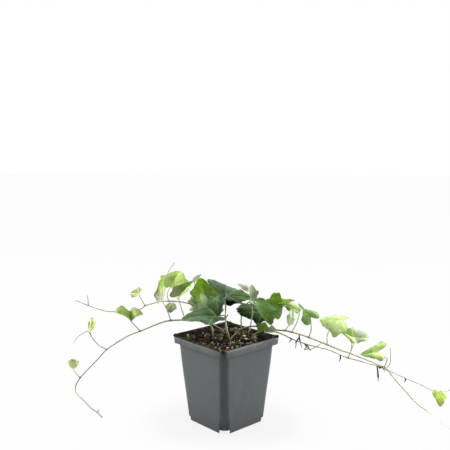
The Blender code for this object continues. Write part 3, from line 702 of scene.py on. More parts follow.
def vein_group():
    """Where a blade's veins run: it reads a place on the blade, across and along, and puts out two masks."""
    tree = bpy.data.node_groups.new("blade veins", "ShaderNodeTree")
    tree.interface.new_socket("Place", in_out="INPUT", socket_type="NodeSocketVector")
    for mask in ("Ribs", "Branches"):
        tree.interface.new_socket(mask, in_out="OUTPUT", socket_type="NodeSocketFloat")
    x, y, _ = split(tree, source(tree, "NodeGroupInput", 0))
    x = calc(tree, "ABSOLUTE", x)
    offs, runs = [], []
    for dx, dy in VEIN_HEADINGS:
        size = math.hypot(dx, dy)
        dx, dy = dx / size, dy / size
        off = calc(tree, "ABSOLUTE", minus(tree, times(tree, x, dy), times(tree, y, dx)))
        run = plus(tree, times(tree, x, dx), times(tree, y, dy))
        behind = calc(tree, "LESS_THAN", run, 0.0)
        offs.append(plus(tree, off, times(tree, behind, OUT_OF_REACH)))
        runs.append(run)
    least = calc(tree, "MINIMUM", calc(tree, "MINIMUM", offs[0], offs[1]), offs[2])
    reach = calc(tree, "SQRT", plus(tree, times(tree, x, x), times(tree, y, y)))
    width = ramp(tree, reach, 0.0, 1.1, 0.020, 0.006)
    ribs = ramp(tree, calc(tree, "DIVIDE", least, width), 0.5, 1.6, 1.0, 0.0)
    branches = 0.0
    for off, run, count in zip(offs, runs, SIDE_VEIN_COUNTS):
        slanted = minus(tree, run, times(tree, off, SIDE_VEIN_SLANT))
        line = calc(tree, "ABSOLUTE", minus(tree, calc(tree, "FRACT", times(tree, slanted, count)), 0.5))
        own = calc(tree, "LESS_THAN", off, plus(tree, least, 0.001))
        fade = ramp(tree, off, 0.05, 0.42, 1.0, 0.0)
        mask = times(tree, ramp(tree, line, 0.02, 0.07, 1.0, 0.0), times(tree, own, fade))
        branches = more(tree, mask, branches)
    target = tree.nodes.new("NodeGroupOutput")
    tree.links.new(ribs, target.inputs[0])
    tree.links.new(branches, target.inputs[1])
    return tree


def leaf_finish(name, veins, roughness, specular):
    """Leaf tissue: its own colour, pale ribs and branches, a fine net, mottling, and a paler underside."""
    made, tree, shader = new_finish(name, roughness, specular)
    tone = read(tree, "tone")
    vein_paleness, under, to_margin = split(tree, read(tree, "look"))
    group = tree.nodes.new("ShaderNodeGroup")
    group.node_tree = veins
    tree.links.new(read(tree, "place"), group.inputs[0])
    ribs, branches = group.outputs
    net = tree.nodes.new("ShaderNodeTexVoronoi")
    net.feature = "DISTANCE_TO_EDGE"
    net.inputs["Scale"].default_value = 1000 / NET_SIZE
    tree.links.new(source(tree, "ShaderNodeTexCoord", "Object"), net.inputs["Vector"])
    net_lines = ramp(tree, net.outputs["Distance"], 0.02, 0.16, 1.0, 0.0)
    mottle = grain(tree, 7.0, 4.0)
    speckle = grain(tree, 1.4, 3.0)
    # Mottled darker, paler in patches, finely speckled, and darker at the margin, which is partly the leaf's
    # own dark rim and partly painted shade along its edges
    color = tinted(tree, tone, (
        (mottle, 0.35, 0.65, 0.62, (0.52, 0.62, 0.46)),
        (grain(tree, 11.0, 2.0), 0.48, 0.66, 0.7, (1.32, 1.36, 1.12)),
        (speckle, 0.45, 0.75, 0.5, (1.3, 1.34, 1.14)),
        (to_margin, 0.78, 1.0, 0.5, (0.52, 0.60, 0.45)),
    ))
    raised = more(tree, ribs, times(tree, branches, 0.62))
    lines = more(tree, raised, times(tree, net_lines, 0.2))
    color = blend(tree, times(tree, lines, vein_paleness), color, blend(tree, 0.72, tone, VEIN_COLOR))
    color = blend(tree, times(tree, under, 0.8), color, blend(tree, 0.45, tone, BELLY_COLOR))
    tree.links.new(color, shader.inputs["Base Color"])
    uneven = ramp(tree, mottle, 0.3, 0.7, roughness - 0.06, roughness + 0.08)
    tree.links.new(plus(tree, uneven, times(tree, under, 0.2)), shader.inputs["Roughness"])
    relief(tree, shader, minus(tree, times(tree, speckle, 0.3), times(tree, raised, 0.2)), 0.15, 0.9)
    return made


def bark_finish():
    """Thin bark: each stem's own colour, streaked along its length, with small pores."""
    made, tree, shader = new_finish("ivy_bark", 0.62)
    streak = grain(tree, 1.1, 3.0)
    blotch = grain(tree, 6.0, 3.0)
    color = tinted(tree, read(tree, "tone"), (
        (streak, 0.35, 0.7, 0.6, (0.5, 0.46, 0.42)),
        (blotch, 0.45, 0.75, 0.5, (1.3, 1.22, 1.08)),
    ))
    tree.links.new(color, shader.inputs["Base Color"])
    relief(tree, shader, plus(tree, streak, times(tree, blotch, 0.5)), 0.15, 0.7)
    return made


def plastic_finish():
    """Moulded grey plastic: faint upright streaks, a rubbed bloom, soil smudged at the rim and the foot, and
    painted shade over the inner wall.

    Its heights and places are in metres.
    """
    made, tree, shader = new_finish("pot_plastic", 0.5)
    streaks = grain(tree, 2.2, 4.0, 0.6, (1, 1, 38))
    fine = grain(tree, 0.5, 2.0)
    color = tinted(tree, PLASTIC_COLOR, (
        (streaks, 0.35, 0.7, 0.55, PLASTIC_LIGHT),
        (grain(tree, 24.0, 4.0), 0.4, 0.75, 0.35, PLASTIC_DARK),
    ), "MIX")
    x, y, z = split(tree, source(tree, "ShaderNodeTexCoord", "Object"))
    facing_x, facing_y, _ = split(tree, source(tree, "ShaderNodeNewGeometry", "Normal"))
    outward = plus(tree, times(tree, x, facing_x), times(tree, y, facing_y))
    near_foot = ramp(tree, z, 0.0, 0.020, 0.7, 0.0)
    near_rim = ramp(tree, z, 0.088, 0.0995)
    front_corner = times(tree, ramp(tree, y, -0.048, -0.056), ramp(tree, z, 0.087, 0.097))
    # The inner wall, which is darkened all over as painted shade
    inside = ramp(tree, outward, -0.008, -0.012)
    # Soil clings in patches at the rim and the foot, and as dust at the foot and at the front corner; the
    # inner wall is darkened all over, as painted shade with soil smeared on it
    dirt_and_shade = times(tree, more(tree, near_rim, near_foot), ramp(tree, grain(tree, 7.0, 6.0, 0.7), 0.50, 0.68))
    for place, cover in (
        (near_foot, ramp(tree, grain(tree, 1.2, 4.0, 0.7), 0.58, 0.72, 0.0, 0.5)),
        (front_corner, ramp(tree, grain(tree, 2.4, 4.0, 0.7), 0.38, 0.56)),
        (inside, ramp(tree, fine, 0.3, 0.6, 1.5, 1.8)),
    ):
        dirt_and_shade = more(tree, dirt_and_shade, times(tree, place, cover))
    color = blend(tree, times(tree, dirt_and_shade, 0.55), color, SMUDGE_AND_SHADE_COLOR)
    tree.links.new(color, shader.inputs["Base Color"])
    roughness = plus(tree, ramp(tree, streaks, 0.3, 0.7, 0.42, 0.56), times(tree, dirt_and_shade, 0.3))
    tree.links.new(roughness, shader.inputs["Roughness"])
    relief(tree, shader, plus(tree, streaks, times(tree, fine, 0.35)), 0.12, 0.5)
    return made


def soil_finish():
    """Damp potting soil: nearly black in patches, its own dark colour with painted shade standing for the
    gaps between crumbs, with brown and pale specks.
    """
    made, tree, shader = new_finish("potting_soil", 0.9, 0.1)
    coarse = grain(tree, 5.0, 5.0, 0.65)
    fine = grain(tree, 1.1, 4.0, 0.7)
    color = tinted(tree, SOIL_DARK_AND_GAP_SHADE, (
        (coarse, 0.42, 0.68, 1.0, SOIL_LIGHT),
        (fine, 0.57, 0.72, 0.8, SOIL_SPECK),
    ), "MIX")
    tree.links.new(color, shader.inputs["Base Color"])
    relief(tree, shader, plus(tree, fine, coarse), 0.8)
    return made


def crumb_finish():
    """Loose bits: each has its own colour, darker in patches."""
    made, tree, shader = new_finish("soil_crumb", 0.85, 0.15)
    fleck = grain(tree, 1.6, 4.0, 0.65)
    color = tinted(tree, read(tree, "tone"), ((fleck, 0.35, 0.68, 1.0, (0.25, 0.22, 0.18)),))
    tree.links.new(color, shader.inputs["Base Color"])
    relief(tree, shader, grain(tree, 0.5, 3.0), 0.3, 0.8)
    return made


# Shapes that the pieces share


def curve_place(before, start, end, after, share):
    """Where a smooth curve through four places, or numbers, is at a share of the way from start to end."""
    near = (end - before) * 0.5
    away = (after - start) * 0.5
    return (start * (2 * share**3 - 3 * share**2 + 1) + near * (share**3 - 2 * share**2 + share)
            + end * (3 * share**2 - 2 * share**3) + away * (share**3 - share**2))


def smooth_path(points, step):
    """Points along a smooth curve through the given ones, about one step apart."""
    marks = [Vector(point) for point in points]
    ends = [marks[0] * 2 - marks[1]] + marks + [marks[-1] * 2 - marks[-2]]
    path = [marks[0]]
    for before, start, end, after in zip(ends, ends[1:], ends[2:], ends[3:]):
        count = max(1, round((end - start).length / step))
        for index in range(1, count + 1):
            place = curve_place(before, start, end, after, index / count)
            if (place - path[-1]).length > SHORTEST_RUN or index == count:
                path.append(place)
    return path


def nearest(path, point):
    """The place on a path nearest to a point."""
    return min(path, key=lambda place: (place - Vector(point)).length)


def add_tube(bm, path, radii, sides, tones):
    """A round closed tube along a path, with a radius and a colour for each of its points."""
    tone_layer = bm.verts.layers.float_vector["tone"]
    normals, crosses = [], []
    normal = None
    for index in range(len(path)):
        along = (path[min(index + 1, len(path) - 1)] - path[max(index - 1, 0)]).normalized()
        if normal is None:
            normal = along.orthogonal()
        normal = (normal - along * normal.dot(along)).normalized()
        normals.append(normal)
        crosses.append(along.cross(normal))
    path, tones, normals, crosses = ([row[0], *row, row[-1]] for row in (path, tones, normals, crosses))
    radii = [0.0, *radii, 0.0]
    last = len(path) - 1
    points = []
    for vert, turn, share in grid(bm, sides, last):
        index = round(share * last)
        angle = 2 * math.pi * turn
        out = normals[index] * math.cos(angle) + crosses[index] * math.sin(angle)
        vert.co = path[index] + out * radii[index]
        vert[tone_layer] = tones[index]
        points.append(vert)
    close_skin(bm, points)


def add_lump(bm, place, size, stretch, seed, color, detail=1):
    """A small rough lump, turned at random."""
    tone_layer = bm.verts.layers.float_vector["tone"]
    draw = random.Random(seed)
    points = bmesh.ops.create_icosphere(bm, subdivisions=detail, radius=size / 2)["verts"]
    angle = draw.uniform(0, FULL_TURN)
    axis = Vector((draw.uniform(-1, 1), draw.uniform(-1, 1), 1)).normalized()
    turn = Matrix.Rotation(angle, 3, axis)
    for vert in points:
        rough = 1 + 0.45 * noise.noise(vert.co * (2.2 / size) + Vector((seed % 97, seed % 31, 0)))
        x, y, z = vert.co * rough
        vert.co = Vector(place) + turn @ Vector((x * stretch[0], y * stretch[1], z * stretch[2]))
        vert[tone_layer] = color


# The pot


def wall_half(z):
    """Half the pot's outer width at a height."""
    return BASE_HALF + (NECK_HALF - BASE_HALF) * z / POT_HEIGHT


def around(steps):
    """How many points go round a square whose round corners have so many steps."""
    return 4 * (steps + 1)


def square_place(half, corner, turn, steps):
    """A place on a square with round corners, whose corners point along X and Y."""
    quarter, step = divmod(round(turn * around(steps)) % around(steps), steps + 1)
    facing = math.radians(90 * quarter)
    angle = facing + math.radians(90 * (step / steps - 0.5))
    reach = (half - corner) * math.sqrt(2)
    x = reach * math.cos(facing) + corner * math.cos(angle)
    y = reach * math.sin(facing) + corner * math.sin(angle)
    return x, y


def round_edge(half, corner, z, in_half, in_z, out_half, out_z, radius, steps=4):
    """Rings that round an edge off between two directions, each given by a half width and a height."""
    rings = []
    start = (half + in_half * radius, z + in_z * radius)
    end = (half + out_half * radius, z + out_z * radius)
    for index in range(steps + 1):
        share = index / steps
        rest = 1 - share
        width, height = (
            rest ** 2 * first + 2 * share * rest * middle + share * share * last
            for first, middle, last in zip(start, (half, z), end)
        )
        rings.append((width, corner + (width - half), height))
    return rings


def pot_rings():
    """The pot's section, from the middle of its foot, up the outside, over the lip and down the inside.

    Each ring has its half width, its corners' radius and its height.
    """
    top = POT_HEIGHT
    under = top - LIP_HEIGHT
    groove = top - LIP_GROOVE
    lip_inner = RIM_HALF - LIP_WALL - LIP_DRAFT
    neck = wall_half(top) - WALL
    foot = wall_half(WALL) - WALL
    inner = WALL_CORNER - WALL
    rings = [(BASE_HALF * 0.5, WALL_CORNER * 0.5, 0)]
    rings += round_edge(BASE_HALF, WALL_CORNER, 0, -1, 0, WALL_LEAN, 1, FOOT_EDGE)
    for share in (0.25, 0.5, 0.75):
        rings.append((wall_half(under * share), WALL_CORNER, under * share))
    rings += round_edge(wall_half(under), WALL_CORNER, groove, 0, -1, 1, 0, 0.5)
    rings += round_edge(lip_inner, RIM_CORNER - LIP_WALL, groove, -1, 0, 0, -1, 0.4)
    rings += round_edge(lip_inner, RIM_CORNER - LIP_WALL, under, 0, 1, 1, 0, 0.3, 3)
    rings += round_edge(RIM_HALF - LIP_DRAFT, RIM_CORNER, under, -1, 0, 0, 1, 0.4, 3)
    rings.append((RIM_HALF - LIP_DRAFT * 0.5, RIM_CORNER, top - LIP_HEIGHT / 2))
    rings += round_edge(RIM_HALF, RIM_CORNER, top, 0, -1, -1, 0, 0.9)
    rings += round_edge(neck, inner, top, 1, 0, 0, -1, 0.7)
    for share in (0.75, 0.5, 0.25):
        rings.append((wall_half(top * share) - WALL, inner, top * share))
    rings += round_edge(foot, inner, WALL, WALL_LEAN, 1, -1, 0, 0.8)
    rings.append((foot * 0.5, inner * 0.5, WALL))
    return rings


def build_pot(finish):
    """The pot's moulding, with its drain pockets cut in under the corners."""
    rings = pot_rings()
    last = len(rings) - 1
    bm = bmesh.new()
    for vert, turn, share in grid(bm, around(POT_CORNER_STEPS), last):
        half, corner, z = rings[round(share * last)]
        vert.co = (*square_place(half, max(corner, LEAST_CORNER), turn, POT_CORNER_STEPS), z)
    close_all(bm, MERGE_GAP / 2)
    cut_pockets(finish_piece("pot_moulding", bm, finish, ["pot"], 0.9))


def loose_block(bm):
    """Turns a mesh made in millimetres into a block for cutting or joining."""
    bmesh.ops.recalc_face_normals(bm, faces=bm.faces)
    bmesh.ops.scale(bm, vec=(MM, MM, MM), verts=bm.verts)
    return mesh_object("block", bm)


def pocket_block(turn, half_width, low, high, reach):
    """An upright block with a round inner end, which reaches out towards one corner of the pot."""
    bm = bmesh.new()
    outline = [(reach, -half_width), (reach, half_width)]
    for step in range(POCKET_STEPS + 1):
        angle = math.radians(90 + 180 * step / POCKET_STEPS)
        outline.append((POCKET_INNER_END + half_width * math.cos(angle), half_width * math.sin(angle)))
    face = bm.faces.new([bm.verts.new((x, y, low)) for x, y in outline])
    grown = bmesh.ops.extrude_face_region(bm, geom=[face])
    raised = [item for item in grown["geom"] if isinstance(item, bmesh.types.BMVert)]
    bmesh.ops.translate(bm, verts=raised, vec=(0, 0, high - low))
    bmesh.ops.rotate(bm, verts=bm.verts, cent=(0, 0, 0), matrix=Matrix.Rotation(turn, 3, "Z"))
    return loose_block(bm)


def drain_block(turn):
    """An upright pin through the roof of one pocket."""
    bm = bmesh.new()
    place = Vector((DRAIN_AT * math.cos(turn), DRAIN_AT * math.sin(turn), POCKET_HEIGHT + WALL / 2))
    bmesh.ops.create_cone(bm, cap_ends=True, segments=DRAIN_SIDES, radius1=DRAIN_RADIUS, radius2=DRAIN_RADIUS,
                          depth=WALL + DRAIN_OVERRUN, matrix=Matrix.Translation(place))
    return loose_block(bm)


def shape_with(piece, operation, block):
    """Joins a block to a piece, or cuts it out, and removes the block."""
    modifier = piece.modifiers.new("block", "BOOLEAN")
    modifier.operation = operation
    modifier.object = block
    modifier.solver = "MANIFOLD"
    shape = piece.evaluated_get(bpy.context.evaluated_depsgraph_get())
    mesh = bpy.data.meshes.new_from_object(shape)
    piece.modifiers.clear()
    piece.data = mesh
    bpy.data.objects.remove(block)


def cut_pockets(piece):
    """Adds the pockets' roofs and walls inside the pot, then cuts the pockets and their drain holes out."""
    corners = [math.radians(90 * quarter) for quarter in range(4)]
    wide = POCKET_HALF_WIDTH + WALL
    for turn in corners:
        roof = pocket_block(turn, wide, FOOT_EDGE, POCKET_HEIGHT + WALL, POCKET_ROOF_REACH)
        shape_with(piece, "UNION", roof)
    for turn in corners:
        room = pocket_block(turn, POCKET_HALF_WIDTH, POCKET_CUT_LOW, POCKET_HEIGHT, POCKET_CUT_REACH)
        shape_with(piece, "DIFFERENCE", room)
    for turn in corners:
        shape_with(piece, "DIFFERENCE", drain_block(turn))


# The soil


def soil_height(x, y):
    """The soil's height at a place, with its large lumps, and heaped towards the left corner."""
    share = x / SOIL_REACH
    far = SOIL_RIGHT if share > 0 else SOIL_LEFT
    level = SOIL_MIDDLE + (far - SOIL_MIDDLE) * share * share
    return level + SOIL_LUMP * noise.noise(Vector((x, y, 0)) / SOIL_LUMP_SIZE)


def soil_surface(x, y):
    """The soil's height with its small crumbs too."""
    place = Vector((x, y, 0))
    middle = noise.noise(place / MIDDLE_LUMP_SIZE + Vector((7, 0, 0)))
    small = noise.noise(place / SMALL_LUMP_SIZE + Vector((0, 9, 0)))
    return soil_height(x, y) + MIDDLE_LUMP * middle + SMALL_LUMP * abs(small)


def build_soil(finish):
    """The root ball: a rough top, and sides just inside the pot's walls."""
    foot_half = wall_half(SOIL_FOOT) - WALL - SOIL_GAP
    neck_half = wall_half(SOIL_RIGHT - SOIL_NECK_DROP) - WALL - SOIL_GAP
    corner = WALL_CORNER - WALL - SOIL_GAP
    bm = bmesh.new()
    for vert, turn, share in grid(bm, around(SOIL_CORNER_STEPS), SOIL_ROWS + SKIRT_ROWS):
        row = round(share * (SOIL_ROWS + SKIRT_ROWS))
        if row >= SKIRT_ROWS:
            size = 1 - (row - SKIRT_ROWS) / SOIL_ROWS
            x, y = square_place(neck_half * size, corner * size, turn, SOIL_CORNER_STEPS)
            z = soil_surface(x, y)
        else:
            rise = row / SKIRT_ROWS
            half = foot_half + (neck_half - foot_half) * rise
            x, y = square_place(half, corner, turn, SOIL_CORNER_STEPS)
            z = SOIL_FOOT + (SOIL_RIGHT - SOIL_SKIRT_DROP - SOIL_FOOT) * rise
        vert.co = (x, y, z)
    close_all(bm)
    finish_piece("soil_top", bm, finish, ["soil"], 1.2)


def inside_rim(x, y, margin):
    """Whether a place is inside the pot's inner wall, by a margin."""
    return abs(x) + abs(y) < (wall_half(POT_HEIGHT) - WALL - margin) * math.sqrt(2) - CORNER_ROOM


def spill_cover(turn):
    """How much of the rim is under spilt soil: all of it, but for the right corner."""
    return held((min(turn, 1 - turn) - BARE_SHARE) / SPILL_FADE)


def build_spill(finish):
    """A thin uneven layer of soil over the rim, heaped at the left corner."""
    bm = bmesh.new()
    inner = wall_half(POT_HEIGHT) - WALL
    for vert, turn, share in grid(bm, around(SPILL_CORNER_STEPS), SPILL_ROWS):
        cover = spill_cover(turn)
        angle = 2 * math.pi * share
        heap = max(0.0, 1 - abs(turn - 0.5) / HEAP_SHARE)
        ragged = noise.noise(Vector((*square_place(RIM_HALF, RIM_CORNER, turn, SPILL_CORNER_STEPS), 0)) / 2.6)
        outer = inner + 0.2 + (RIM_HALF - inner - 0.1 + 0.35 * ragged + 0.9 * heap) * cover
        start = inner - 1.6 + 0.5 * ragged
        half = (outer + start) / 2 + (outer - start) / 2 * math.cos(angle)
        x, y = square_place(half, max(RIM_CORNER + half - RIM_HALF, LEAST_CORNER), turn, SPILL_CORNER_STEPS)
        rough = noise.noise(Vector((x, y, 4)) / 1.7) + 0.6 * noise.noise(Vector((x, y, 9)) / 0.8)
        rise = max(0.0, math.sin(angle)) ** 0.6 * (0.75 + 0.55 * rough + 0.9 * heap)
        z = POT_HEIGHT + SPILL_LIFT + max(rise, 0.0)
        vert.co = (x, y, z - (1 - cover) * SPILL_SINK)
    close_all(bm)
    finish_piece("spilt_soil", bm, finish, sharp=1.2)


def crumb_color(draw, x):
    """A crumb's colour: browner to the left, paler to the right, and mostly dark on the soil's far right, as
    painted shade where the pot's wall shades the low soil.
    """
    kind = draw.random()
    # Past 36 mm to the right most crumbs are dark, as painted shade from the pot's wall over the low soil
    if kind < (0.46 if x < 36 else 0.85):
        return draw.choice(DARK_CRUMBS)
    return draw.choice(BROWN_CRUMBS if kind > 0.86 + x / 160 else LIGHT_CRUMBS)


def scatter_crumbs(draw, finish):
    """Loose crumbs and pale grit on the soil, and crumbs spilt over the rim."""
    bm = colored_bmesh()
    placed = 0
    while placed < CRUMB_COUNT:
        x, y = draw.uniform(-CRUMB_REACH, CRUMB_REACH), draw.uniform(-CRUMB_REACH, CRUMB_REACH)
        if not inside_rim(x, y, 0.6):
            continue
        size = 1.3 + 3.6 * draw.random() ** 2.2
        z = soil_surface(x, y) + size * draw.uniform(-0.05, 0.3)
        stretch = (draw.uniform(0.8, 1.6), draw.uniform(0.7, 1.1), draw.uniform(0.5, 0.9))
        detail = 2 if size > ROUGH_CRUMB else 1
        add_lump(bm, (x, y, z), size, stretch, placed, crumb_color(draw, x), detail)
        placed += 1
    for number, (x, y, length, width) in enumerate(PALE_BITS):
        z = soil_surface(x, y) + width * 0.45
        add_lump(bm, (x, y, z), 1.0, (length, width, width * 0.8), GRIT_SEED + number, GRIT_COLOR, 2)
    for number in range(RIM_CRUMB_COUNT):
        turn = draw.uniform(*RIM_CRUMB_TURNS)
        x, y = square_place(draw.uniform(*RIM_CRUMB_BAND), RIM_CRUMB_CORNER, turn, RIM_CRUMB_STEPS)
        size = 0.8 + 2.4 * draw.random() ** 2
        z = POT_HEIGHT + 0.5 + size * 0.1 - (1 - spill_cover(turn)) * 3.0
        add_lump(bm, (x, y, z), size, (1.2, 0.9, 0.6), RIM_CRUMB_SEED + number, crumb_color(draw, x - 30))
    finish_piece("soil_crumbs", bm, finish, sharp=0.5)


def scatter_fibres(draw, finish):
    """Thin red-brown fibres that wander over the soil."""
    bm = colored_bmesh()
    for _ in range(FIBRE_COUNT):
        x, y = draw.uniform(*FIBRE_ACROSS), draw.uniform(*FIBRE_DEEP)
        if not inside_rim(x, y, 3.0):
            continue
        heading = draw.uniform(0, FULL_TURN)
        length = draw.uniform(*FIBRE_LENGTHS)
        points = []
        for _ in range(FIBRE_RUNS + 1):
            heading += draw.uniform(-0.5, 0.5)
            if not inside_rim(x, y, 1.0):
                break
            points.append((x, y, soil_surface(x, y) + draw.uniform(0.2, 1.4)))
            x += math.cos(heading) * length / FIBRE_RUNS
            y += math.sin(heading) * length / FIBRE_RUNS
        if len(points) < 3:
            continue
        path = smooth_path(points, FIBRE_STEP)
        radius = draw.uniform(*FIBRE_RADII)
        shade = draw.uniform(0.6, 1.1)
        color = seen((shade * 116, shade * draw.uniform(78, 96), shade * 52))
        add_tube(bm, path, [radius] * len(path), FIBRE_SIDES, [color] * len(path))
    finish_piece("soil_fibres", bm, finish)


# Leafy stems


def outline_points(kind):
    """A blade's whole outline, from one side of its stalk to the other, as evenly many smooth points."""
    half = OUTLINES[kind]
    marks = [*half, (0.0, 1.0), *[(-x, y) for x, y in reversed(half)]]
    ends = [marks[0]] + marks + [marks[-1]]
    points = []
    for index in range(BLADE_COLUMNS + 1):
        position = index / BLADE_COLUMNS * (len(marks) - 1)
        start = min(int(position), len(marks) - 2)
        points.append([curve_place(*four, position - start) for four in zip(*ends[start:start + 4])])
    return points


def blade_point(spec, across, along):
    """A point of a blade, arched along its length and bowed across each half, and the way up from it."""
    base = Vector(spec["base"])
    chord = Vector(spec["tip"]) - base
    side = Vector(spec["right"] if across > 0 else spec["left"])
    arm = side - base - chord * LOBE_AT[spec["kind"]]
    up = (Vector(spec["right"]) - Vector(spec["left"])).cross(chord).normalized()
    if up.dot(UPPER_SIDE) < 0:
        up = -up
    middle = held(along)
    reach = min(abs(across), 1.0)
    arch = chord.length * ARCH * 4 * middle * (1 - middle) * (1 - reach * reach)
    bow = arm.length * spec["bow"] * 4 * reach * (1 - reach)
    return base + chord * along + arm * abs(across) + up * (arch + bow), up


def blade_normal(spec, across, along, place, up):
    """The way straight out of a blade's upper face at a place on it."""
    if abs(across) < SMALL_STEP:
        return up
    beside = blade_point(spec, across + math.copysign(SMALL_STEP, across), along)[0] - place
    ahead = blade_point(spec, across, along + SMALL_STEP)[0] - place
    outward = beside.cross(ahead).normalized()
    return outward if outward.dot(up) > 0 else -outward


def off_rib(across, along):
    """How far a place on a blade is from the nearest main rib."""
    least = math.hypot(across, along)
    for dx, dy in VEIN_HEADINGS:
        size = math.hypot(dx, dy)
        run = (abs(across) * dx + along * dy) / size
        if run > 0:
            least = min(least, abs(abs(across) * dy - along * dx) / size)
    return least


def add_blade(bm, layers, spec, look, fold_shading, under, seed):
    """A thin closed blade: its two faces meet at the margin, with the tissue raised between the ribs."""
    outline = outline_points(spec["kind"])
    tip_color, stalk_color, paleness = look
    tip_color, stalk_color = seen(tip_color), seen(stalk_color)
    points = []
    for face_side in (1, -1):
        for vert, turn, share in grid(bm, BLADE_COLUMNS, BLADE_ROWS):
            edge_x, edge_y = outline[round(turn * BLADE_COLUMNS)]
            share = share ** ROW_SPREAD
            ripple = noise.noise(Vector((edge_x * RIPPLE_RATE, edge_y * RIPPLE_RATE, seed)))
            margin = 1 + MARGIN_RIPPLE * share ** 3 * ripple
            across, along = edge_x * share * margin, edge_y * share * margin
            place, up = blade_point(spec, across, along)
            outward = blade_normal(spec, across, along, place, up)
            full = min(1.0, (1 - share) * 4, turn * 9, (1 - turn) * 9)
            puff = PUFF * min(1.0, off_rib(across, along) / PUFF_WIDTH) * (1 - share ** 4)
            wave = MARGIN_WAVE * share * share * noise.noise(place * WAVE_RATE + Vector((seed * 3.1, 0, 0)))
            vert.co = place + outward * (puff + wave + face_side * full * BLADE_THICKNESS / 2)
            vert[layers["place"]] = (across, along, seed * 0.37)
            vert[layers["look"]] = (paleness, 0.0 if face_side > 0 else under, share)
            mix = held((along + 0.1) / 0.9)
            tone = stalk_color.lerp(tip_color, mix * mix * (3 - 2 * mix))
            # The leaf's fold is painted: one half of its tone is lighter and the other darker, as painted
            # light and shade
            vert[layers["tone"]] = tone * (1 + fold_shading * held(across * 8, -1.0))
            points.append(vert)
    close_skin(bm, points)


def add_bud(bm, layers, place, heading, color):
    """A young leaf still folded, at a shoot's tip."""
    points = bmesh.ops.create_uvsphere(bm, u_segments=10, v_segments=8, radius=0.5)["verts"]
    turn = Vector(heading).to_track_quat("Z", "X").to_matrix()
    for vert in points:
        x, y, z = vert.co
        taper = 1 - 0.5 * (z + 0.5)
        vert[layers["place"]] = (x, z + 0.5, 0.0)
        vert[layers["look"]] = (BUD_PALENESS, 0.0, 0.0)
        vert[layers["tone"]] = seen(color)
        vert.co = Vector(place) + turn @ Vector((x * 0.5 * taper, y * 0.32 * taper, z + 0.35)) * BUD_SIZE


def branch(path, route, step=PATH_STEP):
    """A smooth line that leaves a stem's path where a route starts, and follows the route."""
    return smooth_path([nearest(path, route[0]), *route[1:]], step)


def thinning(radius, start, loss, count):
    """The radii at a line's points: a share of one radius at the start, which falls by a loss to the end."""
    return [radius * (start - loss * step / count) for step in range(count)]


def add_stem(bark, path, spec, stops):
    """A stem's own tube, thicker and darker where the leaves' stalks leave it."""
    thick, thin = spec["thick"] / 2, spec["thin"] / 2
    marks = [nearest(path, one["stalk"][0]) for one in spec["leaves"]]
    radii, tones = [], []
    for index, place in enumerate(path):
        share = index / (len(path) - 1)
        swell = min(sum(math.exp(-((place - mark).length / NODE_REACH) ** 2) for mark in marks), 1.0)
        radii.append((thick + (thin - thick) * share) * (1 + NODE_SWELL * swell))
        tones.append(tone_along(stops, share) * (1 - NODE_SWELL * swell))
    add_tube(bark, path, radii, STEM_SIDES, tones)


def add_rootlet(bark, line, seed):
    """An air root: one hair along its line, and shorter ones that spread from its start."""
    for hair in range(HAIR_COUNT):
        draw = random.Random(seed + hair)
        offset = Vector((draw.uniform(-1, 1), draw.uniform(-1, 1), draw.uniform(-1, 1)))
        length = len(line) if hair == 0 else max(4, int(len(line) * draw.uniform(0.35, 0.8)))
        spread = HAIR_SPREAD if hair else 0.0
        path = [place + offset * (spread * step / len(line)) for step, place in enumerate(line[:length])]
        add_tube(bark, path, thinning(ROOT_RADIUS, 1, 0.5, length), ROOT_SIDES, [seen(ROOT_LOOK)] * length)


def build_leafy_stem(number, name, spec, finishes):
    """A stem's bark piece, with its stalks and rootlets, and the piece of its leaves."""
    bark = colored_bmesh()
    leaves = bmesh.new()
    layers = {key: leaves.verts.layers.float_vector.new(key) for key in ("tone", "place", "look")}
    stops, stalk_color = BARK_LOOKS[name]
    stalk_color = seen(stalk_color)
    mature = name.startswith("stem")
    under = 1.0 if mature else YOUNG_UNDERSIDE
    start = (*spec["points"][0][:2], HOLE_FLOOR + HOLE_CLEAR)
    path = smooth_path([start, *spec["points"]], PATH_STEP)
    for place in path:
        place.z = max(place.z, FLOOR_CLEAR + spec["thick"] / 2)
    add_stem(bark, path, spec, stops)
    for index, (one, look) in enumerate(zip(spec["leaves"], LEAF_LOOKS[name])):
        base = Vector(one["base"])
        along = (Vector(one["tip"]) - base).normalized()
        route = branch(path, [*one["stalk"], base, base + along * STALK_SINK])
        count = len(route)
        tones = [stalk_color.lerp(seen(look[1]), 0.6 * step / count) for step in range(count)]
        add_tube(bark, route, thinning(STALK_RADIUS, 1.15, 0.4, count), STALK_SIDES, tones)
        # Each leaf's painted fold light and shade goes into its tone
        add_blade(leaves, layers, one, look, FOLD_SHADING[name].get(index, 0.0), under, number * 7 + index)
    for route in spec["shoots"]:
        line = branch(path, route)
        count = len(line)
        add_tube(bark, line, thinning(STALK_RADIUS, 1.1, 0.5, count), STALK_SIDES, [stalk_color] * count)
        add_bud(leaves, layers, line[-1], line[-1] - line[-3], LEAF_LOOKS[name][-1][0])
    for index, route in enumerate(spec["rootlets"]):
        add_rootlet(bark, branch(path, route, ROOT_STEP), number * 100 + index * 10)
    finish_piece(f"{name}_bark", bark, finishes["bark"])
    leaf_slot = "mature_leaf" if mature else "young_leaf"
    finish_piece(f"{name}_leaves", leaves, finishes[leaf_slot], [name], 1.1)


# Stage, light and camera


def mix_shaders(tree, share, first, second, target):
    """Sends two shaders, mixed by a share, to a tree's target node."""
    mix = tree.nodes.new("ShaderNodeMixShader")
    for value, socket in zip((share, first, second), mix.inputs):
        tree.links.new(value, socket)
    tree.links.new(mix.outputs[0], tree.nodes[target].inputs["Surface"])


